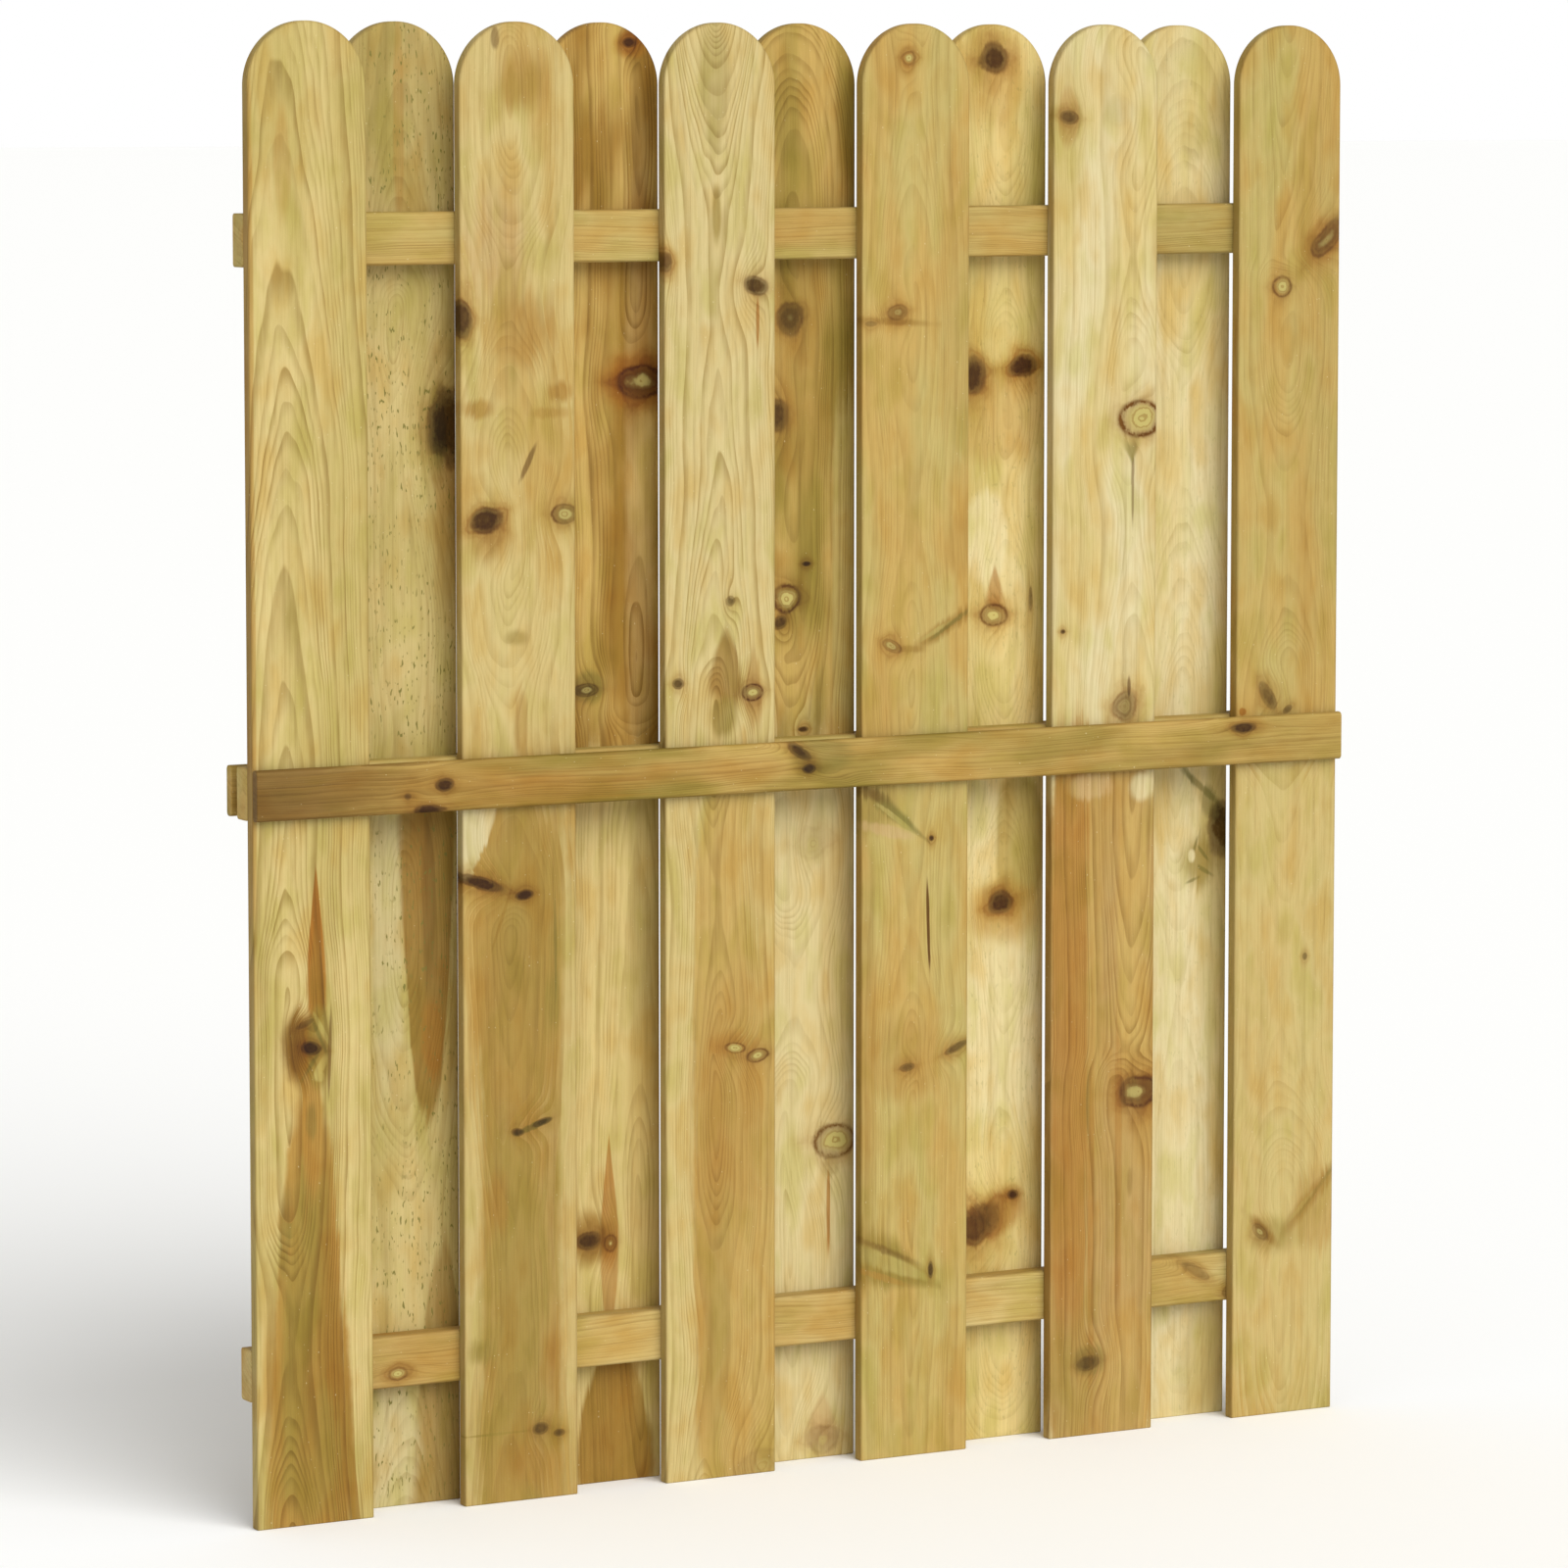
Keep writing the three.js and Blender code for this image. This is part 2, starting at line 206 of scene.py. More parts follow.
FRONT_LOOKS = (
    Look("cream", "straw", 42, contrast=(0.42, 0.44), light=0.88,
        figure=((0, 4), (230, 36), (400, 8), (590, 2), (700, 24), (880, 32), (1450, 76), (1700, 92)),
        stains=(straw(125, 1250, 60, 900, 0.75, edge=1.0), honey(1, 1150, 8, 1000, 0.7),
            honey(42, 1550, 18, 120, 0.4), honey(66, 215, 88, 560, 0.95, taper=-0.4, edge=0.2),
            heart(92, 190, 34, 460, 0.85, tilt=5, edge=0.8), heart(112, 60, 18, 190, 0.5, tilt=10),
            olive(52, 240, 44, 360, 0.8, tilt=-6, edge=0.9), olive(66, 80, 80, 170),
            heart(60, 120, 30, 200, 0.4, edge=1.0), moss(36, 340, 14, 110, 0.35, tilt=-4),
            honey(20, 110, 24, 330, 0.4), resin(77, 664, 19, 190, 0.95, taper=-0.9, edge=0.3),
            heart(77, 640, 14, 130, 0.5, taper=-0.8), brown(83, 650, 3, 150, 0.4, tilt=3),
            honey(72, 455, 24, 150, 0.9, edge=0.5), moss(70, 462, 12, 44, 0.4),
            heart(56, 546, 46, 88, 1.0, tilt=6, edge=0.7), brown(48, 548, 26, 64, edge=1.1),
            olive(80, 545, 30, 96, 0.75, edge=0.4), pale(84, 566, 6, 44, 0.8, tilt=28),
            moss(80, 560, 5, 46, tilt=24, edge=1.2), pale(82, 524, 10, 30, 0.9, tilt=-30),
            moss(72, 530, 5, 40, tilt=-34, edge=1.2), pale(81, 513, 12, 12, 0.9),
            brown(93, 538, 4, 96, 0.7, tilt=-2)),
        knots=(Knot(70, 546, 26, 15, -12, 1.0, 0.6), Knot(62, 574, 22, 7, 24, 0.5, 0.3))),
    Look("tan", "cream", 62, contrast=(0.18, 0.16), light=0.82,
        figure=((0, 34), (280, 50), (560, 26), (700, 20), (780, 40), (900, 52), (1010, 30), (1140, 12),
            (1300, 40), (1400, 56), (1500, 34), (1620, 16), (1700, 34)),
        stains=(cream(10, 1560, 34, 320, 0.7), cream(134, 1480, 34, 420, 0.7),
            pink(48, 1450, 74, 120, edge=1.0), honey(80, 1635, 64, 66, 0.75, edge=0.9),
            brown(45, 1682, 10, 26), honey(80, 1352, 66, 86, 0.75, edge=0.9),
            honey(124, 1280, 28, 20, 0.9, edge=1.0), honey(22, 1262, 40, 20, 0.8, edge=1.0),
            honey(112, 1256, 44, 12, edge=1.0), honey(38, 1106, 54, 44, edge=1.0),
            cream(75, 985, 150, 250, 0.75), brown(85, 1200, 7, 48, 0.7, tilt=-26),
            olive(70, 1000, 28, 18, edge=1.0), honey(75, 902, 18, 78), honey(76, 640, 130, 420, 0.7),
            olive(84, 640, 110, 380, 0.55, edge=1.1), heart(60, 620, 50, 110, 0.3, edge=1.2),
            ivory(4, 792, 70, 124, 0.95, taper=0.5, edge=0.15), heart(50, 680, 4, 80, 0.5, tilt=-20),
            honey(80, 230, 130, 640, 0.7, edge=0.9), olive(66, 230, 100, 480, 0.65, edge=1.2),
            resin(44, 350, 22, 60, 0.4, edge=1.2), resin(116, 160, 24, 90, 0.35, edge=1.2),
            resin(90, 40, 60, 50, 0.35, edge=1.2), olive(116, 578, 20, 64, 0.75, edge=1.0),
            moss(118, 640, 4, 120, 0.45), cream(8, 300, 30, 380, 0.75, edge=0.8),
            cream(138, 420, 26, 640, 0.7, edge=0.8), olive(24, 178, 30, 28, 0.7, edge=1.0),
            olive(40, 81, 3, 90, tilt=90), moss(90, 436, 8, 50, 0.7, tilt=-72)),
        knots=(Knot(2, 1365, 24, 44, 0, 0.9, 0.7), Knot(32, 1135, 38, 32, 22, 1.0, 0.8),
            Knot(130, 1140, 34, 22, 0, 0.85, 0.4, 0.5), Knot(20, 722, 62, 15, -17, 1.0, 0.6),
            Knot(79, 704, 22, 11, 8, 1.0, 0.4), Knot(69, 430, 16, 9, -8, 0.85, 0.2),
            Knot(100, 440, 28, 9, 16, 0.85, 0.2), Knot(97, 82, 19, 14, 0, 0.75, 0.3),
            Knot(121, 75, 15, 9, 0, 0.75, 0.3))),
    Look("cream", "cream", 68, gap=4.0, contrast=(0.38, 0.3), light=0.835,
        figure=((0, 16), (60, 30), (190, 34), (430, 12), (700, 30), (900, 12), (985, 34), (1150, 50),
            (1300, 54), (1450, 56), (1500, 54), (1700, 10)),
        stains=(ivory(70, 1300, 150, 700, 0.3, edge=1.0), tan(94, 390, 110, 920, 0.9, edge=0.12),
            honey(84, 440, 90, 300, edge=0.9), resin(66, 400, 26, 260, 0.3, edge=1.0),
            honey(50, 250, 24, 420, 0.5, edge=1.0), olive(70, 210, 30, 300, 0.35, edge=1.0),
            cream(128, 720, 50, 180, 0.5), olive(68, 1478, 13, 66, 0.7),
            olive(66, 1620, 34, 160, 0.45, taper=0.5), heart(80, 952, 40, 84, 0.8, taper=-0.5, edge=0.5),
            olive(76, 898, 34, 50, 0.8), resin(122, 1357, 4, 58, 0.8), honey(116, 924, 22, 90),
            resin(84, 514, 50, 26, 0.5, edge=1.2)),
        knots=(Knot(120, 1397, 32, 22, -14, 1.0, 0.3), Knot(3, 1425, 13, 22, 0, 0.7, 0.7),
            Knot(86, 1032, 13, 13, 0, 0.7, 0.2), Knot(115, 924, 28, 20, 5, 1.0, 0.5, 0.6),
            Knot(17, 938, 16, 13, 0, 0.9, 0.4), Knot(92, 508, 28, 12, -8, 0.5, 0.2, 0.9),
            Knot(122, 497, 30, 16, 6, 0.8, 0.3, 0.6), Knot(126, 8, 66, 44, 0, 0.2, 0.1, 0.2))),
    Look("tan", "straw", 68, contrast=(0.16, 0.18), light=0.853,
        figure=((0, 26), (230, 14), (470, 10), (640, 34), (780, 24), (960, 12), (1120, 34), (1360, 14),
            (1425, 22), (1650, 44), (1700, 30)),
        stains=(honey(126, 1370, 40, 330, 0.35), honey(130, 1085, 34, 70, 0.5),
            olive(18, 778, 60, 50, 0.7, tilt=40, edge=1.0), heart(110, 988, 16, 84, 0.75, tilt=-60, edge=1.1),
            moss(118, 992, 6, 60, tilt=-58, edge=1.0), pale(100, 986, 5, 44, tilt=-62, edge=1.0),
            heart(66, 966, 8, 40, 0.5, tilt=84, edge=1.2), heart(46, 1352, 8, 90, tilt=86, edge=1.2),
            pink(34, 752, 14, 76, 0.7, tilt=76), moss(50, 768, 14, 92, 0.7, tilt=52, taper=0.6, edge=1.0),
            pale(44, 768, 6, 60, 0.7, tilt=54), brown(16, 796, 14, 40, tilt=66, edge=1.2),
            brown(91, 636, 4, 96, 1.0, tilt=2), honey(60, 478, 110, 100, 0.5), honey(28, 880, 50, 120, 0.3),
            olive(40, 231, 52, 134, 0.95, tilt=66, taper=0.7, edge=0.8),
            moss(12, 246, 16, 40, tilt=60, edge=1.0), honey(30, 218, 8, 70, tilt=70),
            pale(46, 232, 20, 110, 0.75, tilt=66, taper=0.5), brown(30, 252, 8, 84, 0.55, tilt=66, edge=1.2),
            pale(80, 62, 30, 125, 0.4), heart(8, 470, 24, 520, 0.3)),
        knots=(Knot(62, 1660, 18, 17, 0, 0.35, 0.6, 0.7), Knot(47, 1363, 28, 18, 8, 0.55, 0.5, 0.25),
            Knot(12, 1350, 16, 6, 0, 0.4, 0.3), Knot(42, 970, 28, 13, -24, 0.5, 0.5, 0.4),
            Knot(95, 740, 7, 7), Knot(62, 468, 22, 10, 8, 0.7, 0.4), Knot(128, 487, 34, 9, 24, 0.7),
            Knot(95, 222, 7, 20, 0, 0.9, 0.4))),
    Look("cream", "ivory", 113, gap=4.4, contrast=(0.2, 0.38), light=0.88,
        figure=((0, 26), (175, 22), (330, 18), (415, 8), (480, 34), (740, 14), (880, 8), (950, 22),
            (1100, 38), (1230, 16), (1420, 46), (1600, 30), (1700, 52)),
        stains=(honey(72, 390, 170, 910, 0.8, edge=0.1), resin(26, 480, 50, 740, edge=0.3),
            resin(58, 300, 8, 500, 0.5), resin(96, 330, 10, 420, 0.4), tan(116, 600, 44, 330, 0.75, edge=0.4),
            tan(62, 560, 22, 300, 0.4), pink(55, 790, 62, 30, 0.8), ivory(126, 786, 32, 34, 0.85),
            tan(112, 70, 80, 170, 0.5), olive(30, 70, 70, 150, 0.35), straw(20, 1560, 50, 200, 0.55),
            resin(20, 1590, 30, 66, 0.4), ivory(92, 1597, 34, 32, 0.5, edge=0.8), brown(112, 1146, 4, 96),
            pale(111, 1196, 20, 30, 0.7, taper=0.8, edge=0.8),
            moss(111, 1190, 12, 24, 0.5, taper=0.6, edge=1.0), moss(56, 92, 44, 34, 0.4),
            brown(108, 908, 5, 26, 0.7)),
        knots=(Knot(22, 1590, 27, 16, -6, 0.75), Knot(92, 1597, 42, 38, 0, 0.08, 0.0),
            Knot(122, 1230, 60, 43, 0, 1.0, 0.3, 0.9), Knot(102, 885, 36, 34, 0, 0.6, 0.6, 0.15),
            Knot(15, 978, 8, 6), Knot(125, 415, 54, 38, 0, 0.95, 0.7, 0.45),
            Knot(55, 88, 31, 18, 5, 0.65, 0.3))),
    Look("tan", "straw", 70, contrast=(0.18, 0.12), light=0.83,
        figure=((0, 34), (220, 10), (450, 70), (760, 60), (880, 14), (990, 40), (1100, 50), (1175, 44),
            (1385, 12), (1430, 36), (1700, 24)),
        stains=(cream(74, 420, 170, 800, 0.62, edge=0.3), pale(55, 1600, 52, 240, 0.5),
            honey(120, 1500, 60, 260, 0.25), resin(122, 1440, 62, 44, 0.5, tilt=48),
            honey(110, 1180, 60, 560, 0.25), resin(10, 870, 10, 9, 0.9),
            olive(60, 222, 70, 40, 0.5, edge=1.0), heart(44, 230, 12, 56, 0.7, tilt=46, edge=1.1),
            heart(112, 264, 18, 104, 0.75, tilt=-44, edge=1.1), moss(118, 270, 6, 70, tilt=-42, edge=1.0),
            pale(100, 256, 5, 50, tilt=-46, edge=1.0), honey(118, 250, 60, 100, 0.5)),
        knots=(Knot(126, 1441, 62, 26, 46, 0.75, 0.4, 0.25), Knot(62, 1385, 28, 25, 0, 0.7, 0.3, 0.7),
            Knot(46, 888, 38, 18, -56, 0.7, 0.4), Knot(74, 870, 15, 10, 30, 0.7, 0.4),
            Knot(40, 228, 28, 14, -42, 0.45, 0.4, 0.4), Knot(102, 565, 7, 9, 0, 0.6, 0.3))),
)

BACK_LOOKS = (
    Look("straw", "cream", 76, contrast=(0.22, 0.22), specks=1.0, light=0.84,
        figure=((0, 40), (285, 66), (480, 40), (700, 14), (860, 40), (1000, 34), (1240, 34), (1360, 16),
            (1430, 40), (1700, 70)),
        stains=(olive(75, 1600, 190, 220, 0.42, edge=0.5), honey(75, 1590, 13, 230, 0.55),
            heart(106, 650, 58, 400, 0.85, taper=0.45, edge=0.16), resin(112, 540, 28, 90, 0.55),
            brown(108, 700, 16, 200, 0.4), heart(122, 120, 62, 360, taper=-0.6, edge=0.2),
            ivory(60, 60, 60, 180), honey(132, 1130, 30, 200, 0.4), ivory(55, 650, 34, 340, 0.5),
            olive(118, 1240, 40, 100, 0.7, edge=1.0), moss(126, 1226, 20, 50, edge=1.0)),
        knots=(Knot(137, 1240, 54, 90, 6, 1.0, 0.4),)),
    Look("tan", "heart", 116, gap=6.0, contrast=(0.5, 0.34), light=0.955,
        figure=((0, 20), (300, 12), (560, 34), (760, 40), (870, 44), (930, 18), (1180, 28), (1290, 12),
            (1450, 16), (1650, 10), (1700, 22)),
        stains=(cream(80, 415, 180, 870, 0.85, edge=0.1), pink(120, 1200, 34, 640, 0.3),
            brown(125, 1600, 26, 240, 0.3), resin(122, 1287, 90, 60), resin(112, 1675, 44, 30),
            moss(52, 935, 44, 34, 0.5), resin(78, 335, 17, 150, 0.75, taper=-0.9, edge=0.3),
            resin(78, 235, 20, 120, taper=0.5, edge=0.3), heart(84, 70, 90, 210, 0.95, taper=-0.5, edge=0.2),
            heart(54, 290, 52, 54, 0.8, edge=1.0), olive(130, 640, 44, 400, 0.4),
            tan(130, 300, 50, 400, 0.5)),
        knots=(Knot(122, 1287, 60, 38, 0, 1.0, 0.8, 0.42), Knot(108, 1677, 18, 11, 0, 0.9, 0.7),
            Knot(50, 932, 32, 15, 0, 0.9, 0.3, 0.3), Knot(50, 288, 32, 22, 0, 0.9),
            Knot(80, 282, 18, 22, 0, 0.6, 0.3, 0.5))),
    Look("olive", "tan", 60, gap=5.0, contrast=(0.42, 0.24), light=0.93,
        figure=((0, 34), (380, 12), (560, 60), (735, 20), (860, 44), (1030, 22), (1245, 14), (1357, 10),
            (1480, 18), (1700, 74)),
        stains=(cream(80, 415, 180, 870, 0.95, edge=0.08), ivory(80, 415, 170, 850, 0.55, edge=0.4),
            straw(130, 1050, 30, 420, 0.7, edge=0.3), heart(70, 1300, 90, 260, 0.4),
            olive(100, 1400, 80, 200, 0.3), tan(118, 600, 40, 300, 0.4), resin(110, 300, 5, 100, 0.8),
            olive(112, 350, 22, 26, 0.4), pink(102, 45, 34, 60, 0.7, taper=-0.6)),
        knots=(Knot(58, 1357, 34, 40, 20, 0.85, 0.4, 0.1), Knot(38, 1244, 34, 40, 0, 0.85, 0.3),
            Knot(53, 1028, 36, 34, 0, 0.85, 0.4, 0.7), Knot(44, 1000, 20, 16, 30, 0.9, 0.3),
            Knot(80, 1068, 12, 6), Knot(75, 873, 13, 6), Knot(90, 737, 42, 38, 0, 0.1, 0.2, 0.2),
            Knot(118, 380, 58, 40, 0, 0.85, 0.3, 0.7), Knot(102, 22, 42, 34, 0, 0.35, 0.3, 0.3))),
    Look("straw", "cream", 90, contrast=(0.2, 0.16), specks=0.25, light=1.05,
        figure=((0, 60), (270, 14), (440, 36), (650, 14), (800, 40), (1000, 14), (1130, 34), (1290, 12),
            (1400, 40), (1660, 12), (1700, 24)),
        stains=(honey(80, 1240, 140, 120, 0.5), honey(70, 1640, 90, 120, 0.45),
            ivory(64, 1090, 60, 110, 0.7, edge=0.3), pale(120, 1560, 50, 160, 0.4),
            cream(90, 960, 120, 160, 0.5), olive(112, 725, 70, 160, 0.62, edge=0.25),
            ivory(90, 500, 130, 240, 0.75), resin(76, 270, 90, 50, tilt=30), ivory(58, 740, 44, 140, 0.5),
            honey(90, 640, 100, 70, 0.5), ivory(88, 1040, 60, 60, 0.3), resin(76, 1030, 18, 50, taper=-0.7)),
        knots=(Knot(72, 1660, 42, 38), Knot(44, 1284, 38, 42, 10, 1.0, 0.7),
            Knot(115, 1293, 38, 27, 0, 1.0, 0.9), Knot(75, 998, 39, 26, 0, 0.85, 0.5, 0.6),
            Knot(126, 1016, 6, 30, 0, 0.6, 0.3), Knot(86, 652, 36, 27, 15, 0.95, 0.8),
            Knot(52, 262, 64, 44, 38, 0.8, 0.7), Knot(104, 295, 16, 12, 0, 1.0, 0.6))),
    Look("cream", "ivory", 80, contrast=(0.16, 0.12), specks=0.15, light=0.95,
        figure=((0, 70), (300, 50), (560, 60), (725, 30), (870, 20), (960, 34), (1240, 70), (1430, 40),
            (1550, 60), (1700, 90)),
        stains=(ivory(70, 440, 90, 600, 0.65), straw(130, 640, 50, 300, 0.5),
            moss(108, 776, 8, 70, tilt=50, edge=1.0), moss(88, 796, 6, 40, 0.5, tilt=30, edge=1.0),
            moss(124, 752, 26, 50, 0.5, tilt=30), olive(108, 684, 50, 56, 0.8, edge=1.0),
            moss(116, 672, 26, 5, tilt=-30, edge=1.0), moss(96, 662, 18, 4, tilt=20, edge=1.0),
            moss(100, 704, 4, 30, tilt=-20, edge=1.0), moss(112, 694, 4, 26, tilt=40, edge=1.0),
            ivory(95, 692, 10, 16, 0.9), olive(90, 1560, 30, 60, 0.3), olive(110, 60, 60, 130, 0.35),
            ivory(70, 1000, 80, 300, 0.3), straw(90, 1640, 150, 160, 0.4)),
        knots=(Knot(142, 724, 48, 66, 0, 1.0, 0.2),)),
)

RAIL_LOOKS = {
    "top": Look("tan", "straw", -70, gap=3.2, contrast=(0.26, 0.26), light=0.86,
        figure=((0, 24), (500, 34), (900, 20), (1450, 36)),
        stains=(olive(30, 1260, 80, 420, 0.35), honey(30, 700, 60, 300, 0.35), straw(52, 620, 12, 560, 0.4))),
    "middle": Look("tan", "straw", -60, gap=3.5, contrast=(0.24, 0.24), light=0.92,
        figure=((0, 30), (700, 44), (1450, 26))),
    "bottom": Look("tan", "cream", -30, gap=3.4, contrast=(0.26, 0.26), light=0.87,
        figure=((0, 26), (180, 12), (420, 36), (900, 30), (1300, 14), (1450, 30)),
        stains=(honey(30, 160, 90, 300, edge=1.0), olive(26, 1270, 80, 200, 0.2),
            honey(30, 700, 60, 260, 0.25), cream(30, 960, 50, 240, 0.4)),
        knots=(Knot(44, 183, 15, 24, 0, 0.45, 0.6, 0.8), Knot(50, 1310, 14, 20, 0, 0.5, 0.4, 0.3),
            Knot(20, 1262, 12, 46, -30, 0.35, 0.4))),
}

COVER_LOOKS = {
    "front": Look("olive", "tan", -50, gap=3.6, light=0.85,
        figure=((0, 20), (470, 30), (1000, 22), (1450, 36)),
        stains=(brown(30, 30, 90, 300, 0.75, edge=0.9), resin(40, 360, 36, 260, 0.45),
            heart(30, 200, 70, 260, 0.4, edge=1.0), tan(30, 1400, 90, 180), resin(30, 560, 24, 260, 0.25),
            moss(20, 720, 40, 80, 0.4)),
        knots=(Knot(27, 232, 15, 24, 10), Knot(55, 214, 12, 42), Knot(12, 692, 14, 34, -30, 0.95, 0.4),
            Knot(33, 705, 11, 18, 0, 0.95), Knot(13, 1308, 12, 34, 0, 0.95, 0.6),
            Knot(38, 186, 8, 9, 0, 0.6, 0.3))),
    "back": Look("olive", "tan", -44, gap=3.8, light=0.85,
        figure=((0, 34), (360, 22), (800, 36), (1120, 20), (1450, 34)),
        stains=(resin(34, 420, 40, 260, 0.4), heart(20, 980, 50, 420, 0.35)),
        knots=(Knot(20, 372, 15, 26, 12, 0.95, 0.6), Knot(44, 1118, 14, 22, -8, 0.95, 0.6),
            Knot(10, 1390, 10, 18, 0, 0.8, 0.4))),
}


# ---- Node trees written as formulas ----

def formula(operation, swapped=False):
    """An arithmetic operator of a term, as a Math node."""
    def apply(self, other):
        return self.sheet.math(operation, *((other, self) if swapped else (self, other)))
    return apply


class Term:
    """An output socket that can be used in a formula."""

    def __init__(self, sheet, socket):
        self.sheet = sheet
        self.socket = socket

    __add__ = __radd__ = formula("ADD")
    __mul__ = __rmul__ = formula("MULTIPLY")
    __sub__, __rsub__ = formula("SUBTRACT"), formula("SUBTRACT", swapped=True)
    __truediv__, __rtruediv__ = formula("DIVIDE"), formula("DIVIDE", swapped=True)

    def __neg__(self):
        return self * -1.0


class Sheet:
    """A node tree, shader or geometry, to which nodes are added as formulas."""

    def __init__(self, tree):
        self.tree = tree

    def node(self, kind, inputs=(), **settings):
        """Adds a node. Inputs are values in the order of the sockets, or a dictionary by socket name."""
        node = self.tree.nodes.new(kind)
        for name, value in settings.items():
            setattr(node, name, value)
        for key, value in inputs.items() if isinstance(inputs, dict) else enumerate(inputs):
            self.put(node.inputs[key], value)
        return node

    def put(self, socket, value):
        if isinstance(value, (list, tuple)) and value and isinstance(value[0], Term):
            for each in value:
                self.put(socket, each)
        elif isinstance(value, Term):
            self.tree.links.new(value.socket, socket)
        elif value is not None:
            is_colour = socket.type == "RGBA" and len(value) == 3
            socket.default_value = (*value, 1.0) if is_colour else value

    def make(self, kind, inputs=(), output=0, **settings):
        """Adds a node and gives one of its outputs."""
        return Term(self, self.node(kind, inputs, **settings).outputs[output])

    def use(self, group, **inputs):
        """Places a node group. Underscores in the names of its inputs stand for spaces."""
        named = {name.replace("_", " "): value for name, value in inputs.items()}
        node = self.node("ShaderNodeGroup", named, node_tree=group())
        return {output.name: Term(self, output) for output in node.outputs}

    def math(self, operation, *values):
        return self.make("ShaderNodeMath", values, operation=operation)

    def vector_math(self, operation, *values):
        return self.make("ShaderNodeVectorMath", values, operation=operation)

    def split(self, vector):
        node = self.node("ShaderNodeSeparateXYZ", (vector,))
        return [Term(self, output) for output in node.outputs]

    def join(self, x, y, z):
        return self.make("ShaderNodeCombineXYZ", (x, y, z))

    def smooth(self, value, start, end, low=0.0, high=1.0):
        """Goes smoothly from low to high as the value goes from start to end."""
        inputs = {"Value": value, "From Min": start, "From Max": end, "To Min": low, "To Max": high}
        return self.make("ShaderNodeMapRange", inputs, interpolation_type="SMOOTHSTEP")

    def bell(self, value):
        return self.math("EXPONENT", -(value * value))

    def distance(self, a, b):
        return self.math("SQRT", a * a + b * b)

    def mix(self, factor, first, second, blend="MIX"):
        return self.make("ShaderNodeMix", {0: factor, 6: first, 7: second}, output=2, data_type="RGBA",
                         blend_type=blend)

    def multiply(self, factor, colour, tint):
        """Darkens a colour by a tint, as far as the factor says."""
        return self.mix(factor, colour, tint, "MULTIPLY")

    def noise(self, place, size, detail=2.0, roughness=0.5):
        """Noise from 0 to 1. Size is the size of its blotches across, through and along the grain."""
        scaled = self.vector_math("DIVIDE", place, size)
        inputs = {"Vector": scaled, "Scale": 1.0, "Detail": detail, "Roughness": roughness}
        return self.make("ShaderNodeTexNoise", inputs)

    def real(self, geometry, material):
        """The last nodes of every Geometry Nodes tree: real faces with their material."""
        real = self.make("GeometryNodeRealizeInstances", {"Geometry": geometry})
        return self.make("GeometryNodeSetMaterial", {"Geometry": real, "Material": material})


SOCKETS = {
    "number": "NodeSocketFloat", "count": "NodeSocketInt", "vector": "NodeSocketVector",
    "colour": "NodeSocketColor", "geometry": "NodeSocketGeometry", "material": "NodeSocketMaterial",
}


def node_group(name, kind, gives, **takes):
    """Makes a function of a sheet and its inputs into a node group, which is built once.

    Gives and takes list the names of the output and input sockets of each type. The function has the inputs
    as given.name, and returns the outputs in the order of gives."""
    def group_of(build):
        def group():
            tree = bpy.data.node_groups.get(name)
            if tree:
                return tree
            tree = bpy.data.node_groups.new(name, kind)
            for direction, lists in (("INPUT", takes), ("OUTPUT", gives)):
                for socket, labels in lists.items():
                    for label in labels.split(", "):
                        tree.interface.new_socket(label, in_out=direction, socket_type=SOCKETS[socket])
            sheet = Sheet(tree)
            entry, result = tree.nodes.new("NodeGroupInput"), tree.nodes.new("NodeGroupOutput")
            given = SimpleNamespace(**{socket.name.lower().replace(" ", "_"): Term(sheet, socket)
                                       for socket in entry.outputs if socket.name})
            built = build(sheet, given)
            for socket, value in zip(result.inputs, [built] if isinstance(built, Term) else built):
                sheet.put(socket, value)
            return tree
        return group
    return group_of


# ---- Shader groups: the parts of a wood's look ----

SHADER, GEOMETRY = "ShaderNodeTree", "GeometryNodeTree"
SPOT = "Across, Along, Wide, High, Tilt"


def spot_axes(sheet, given):
    """The place as seen from the middle of a tilted spot: across it, and along it."""
    x, _, z = sheet.split(given.place)
    from_side, from_foot = x - given.across, z - given.along
    cosine, sine = sheet.math("COSINE", given.tilt), sheet.math("SINE", given.tilt)
    return from_side * cosine + from_foot * sine, from_foot * cosine - from_side * sine


@node_group("Grain Round Knot", SHADER, {"vector": "Bent", "number": "Rise"},
            vector="Place, Bent", number=f"Rise, {SPOT}")
def bend_group(sheet, given):
    """Leads the grain round a knot, and lifts the growth rings that it pushes out."""
    across, along = spot_axes(sheet, given)
    near = sheet.bell(sheet.distance(across / (given.wide * 0.9), along / (given.high * 1.4 + 9.0)))
    pull = (sheet.split(given.place)[0] - given.across) * near * -0.8
    bent = sheet.vector_math("ADD", given.bent, sheet.join(pull, 0.0, 0.0))
    return bent, given.rise + near * given.wide * 0.42


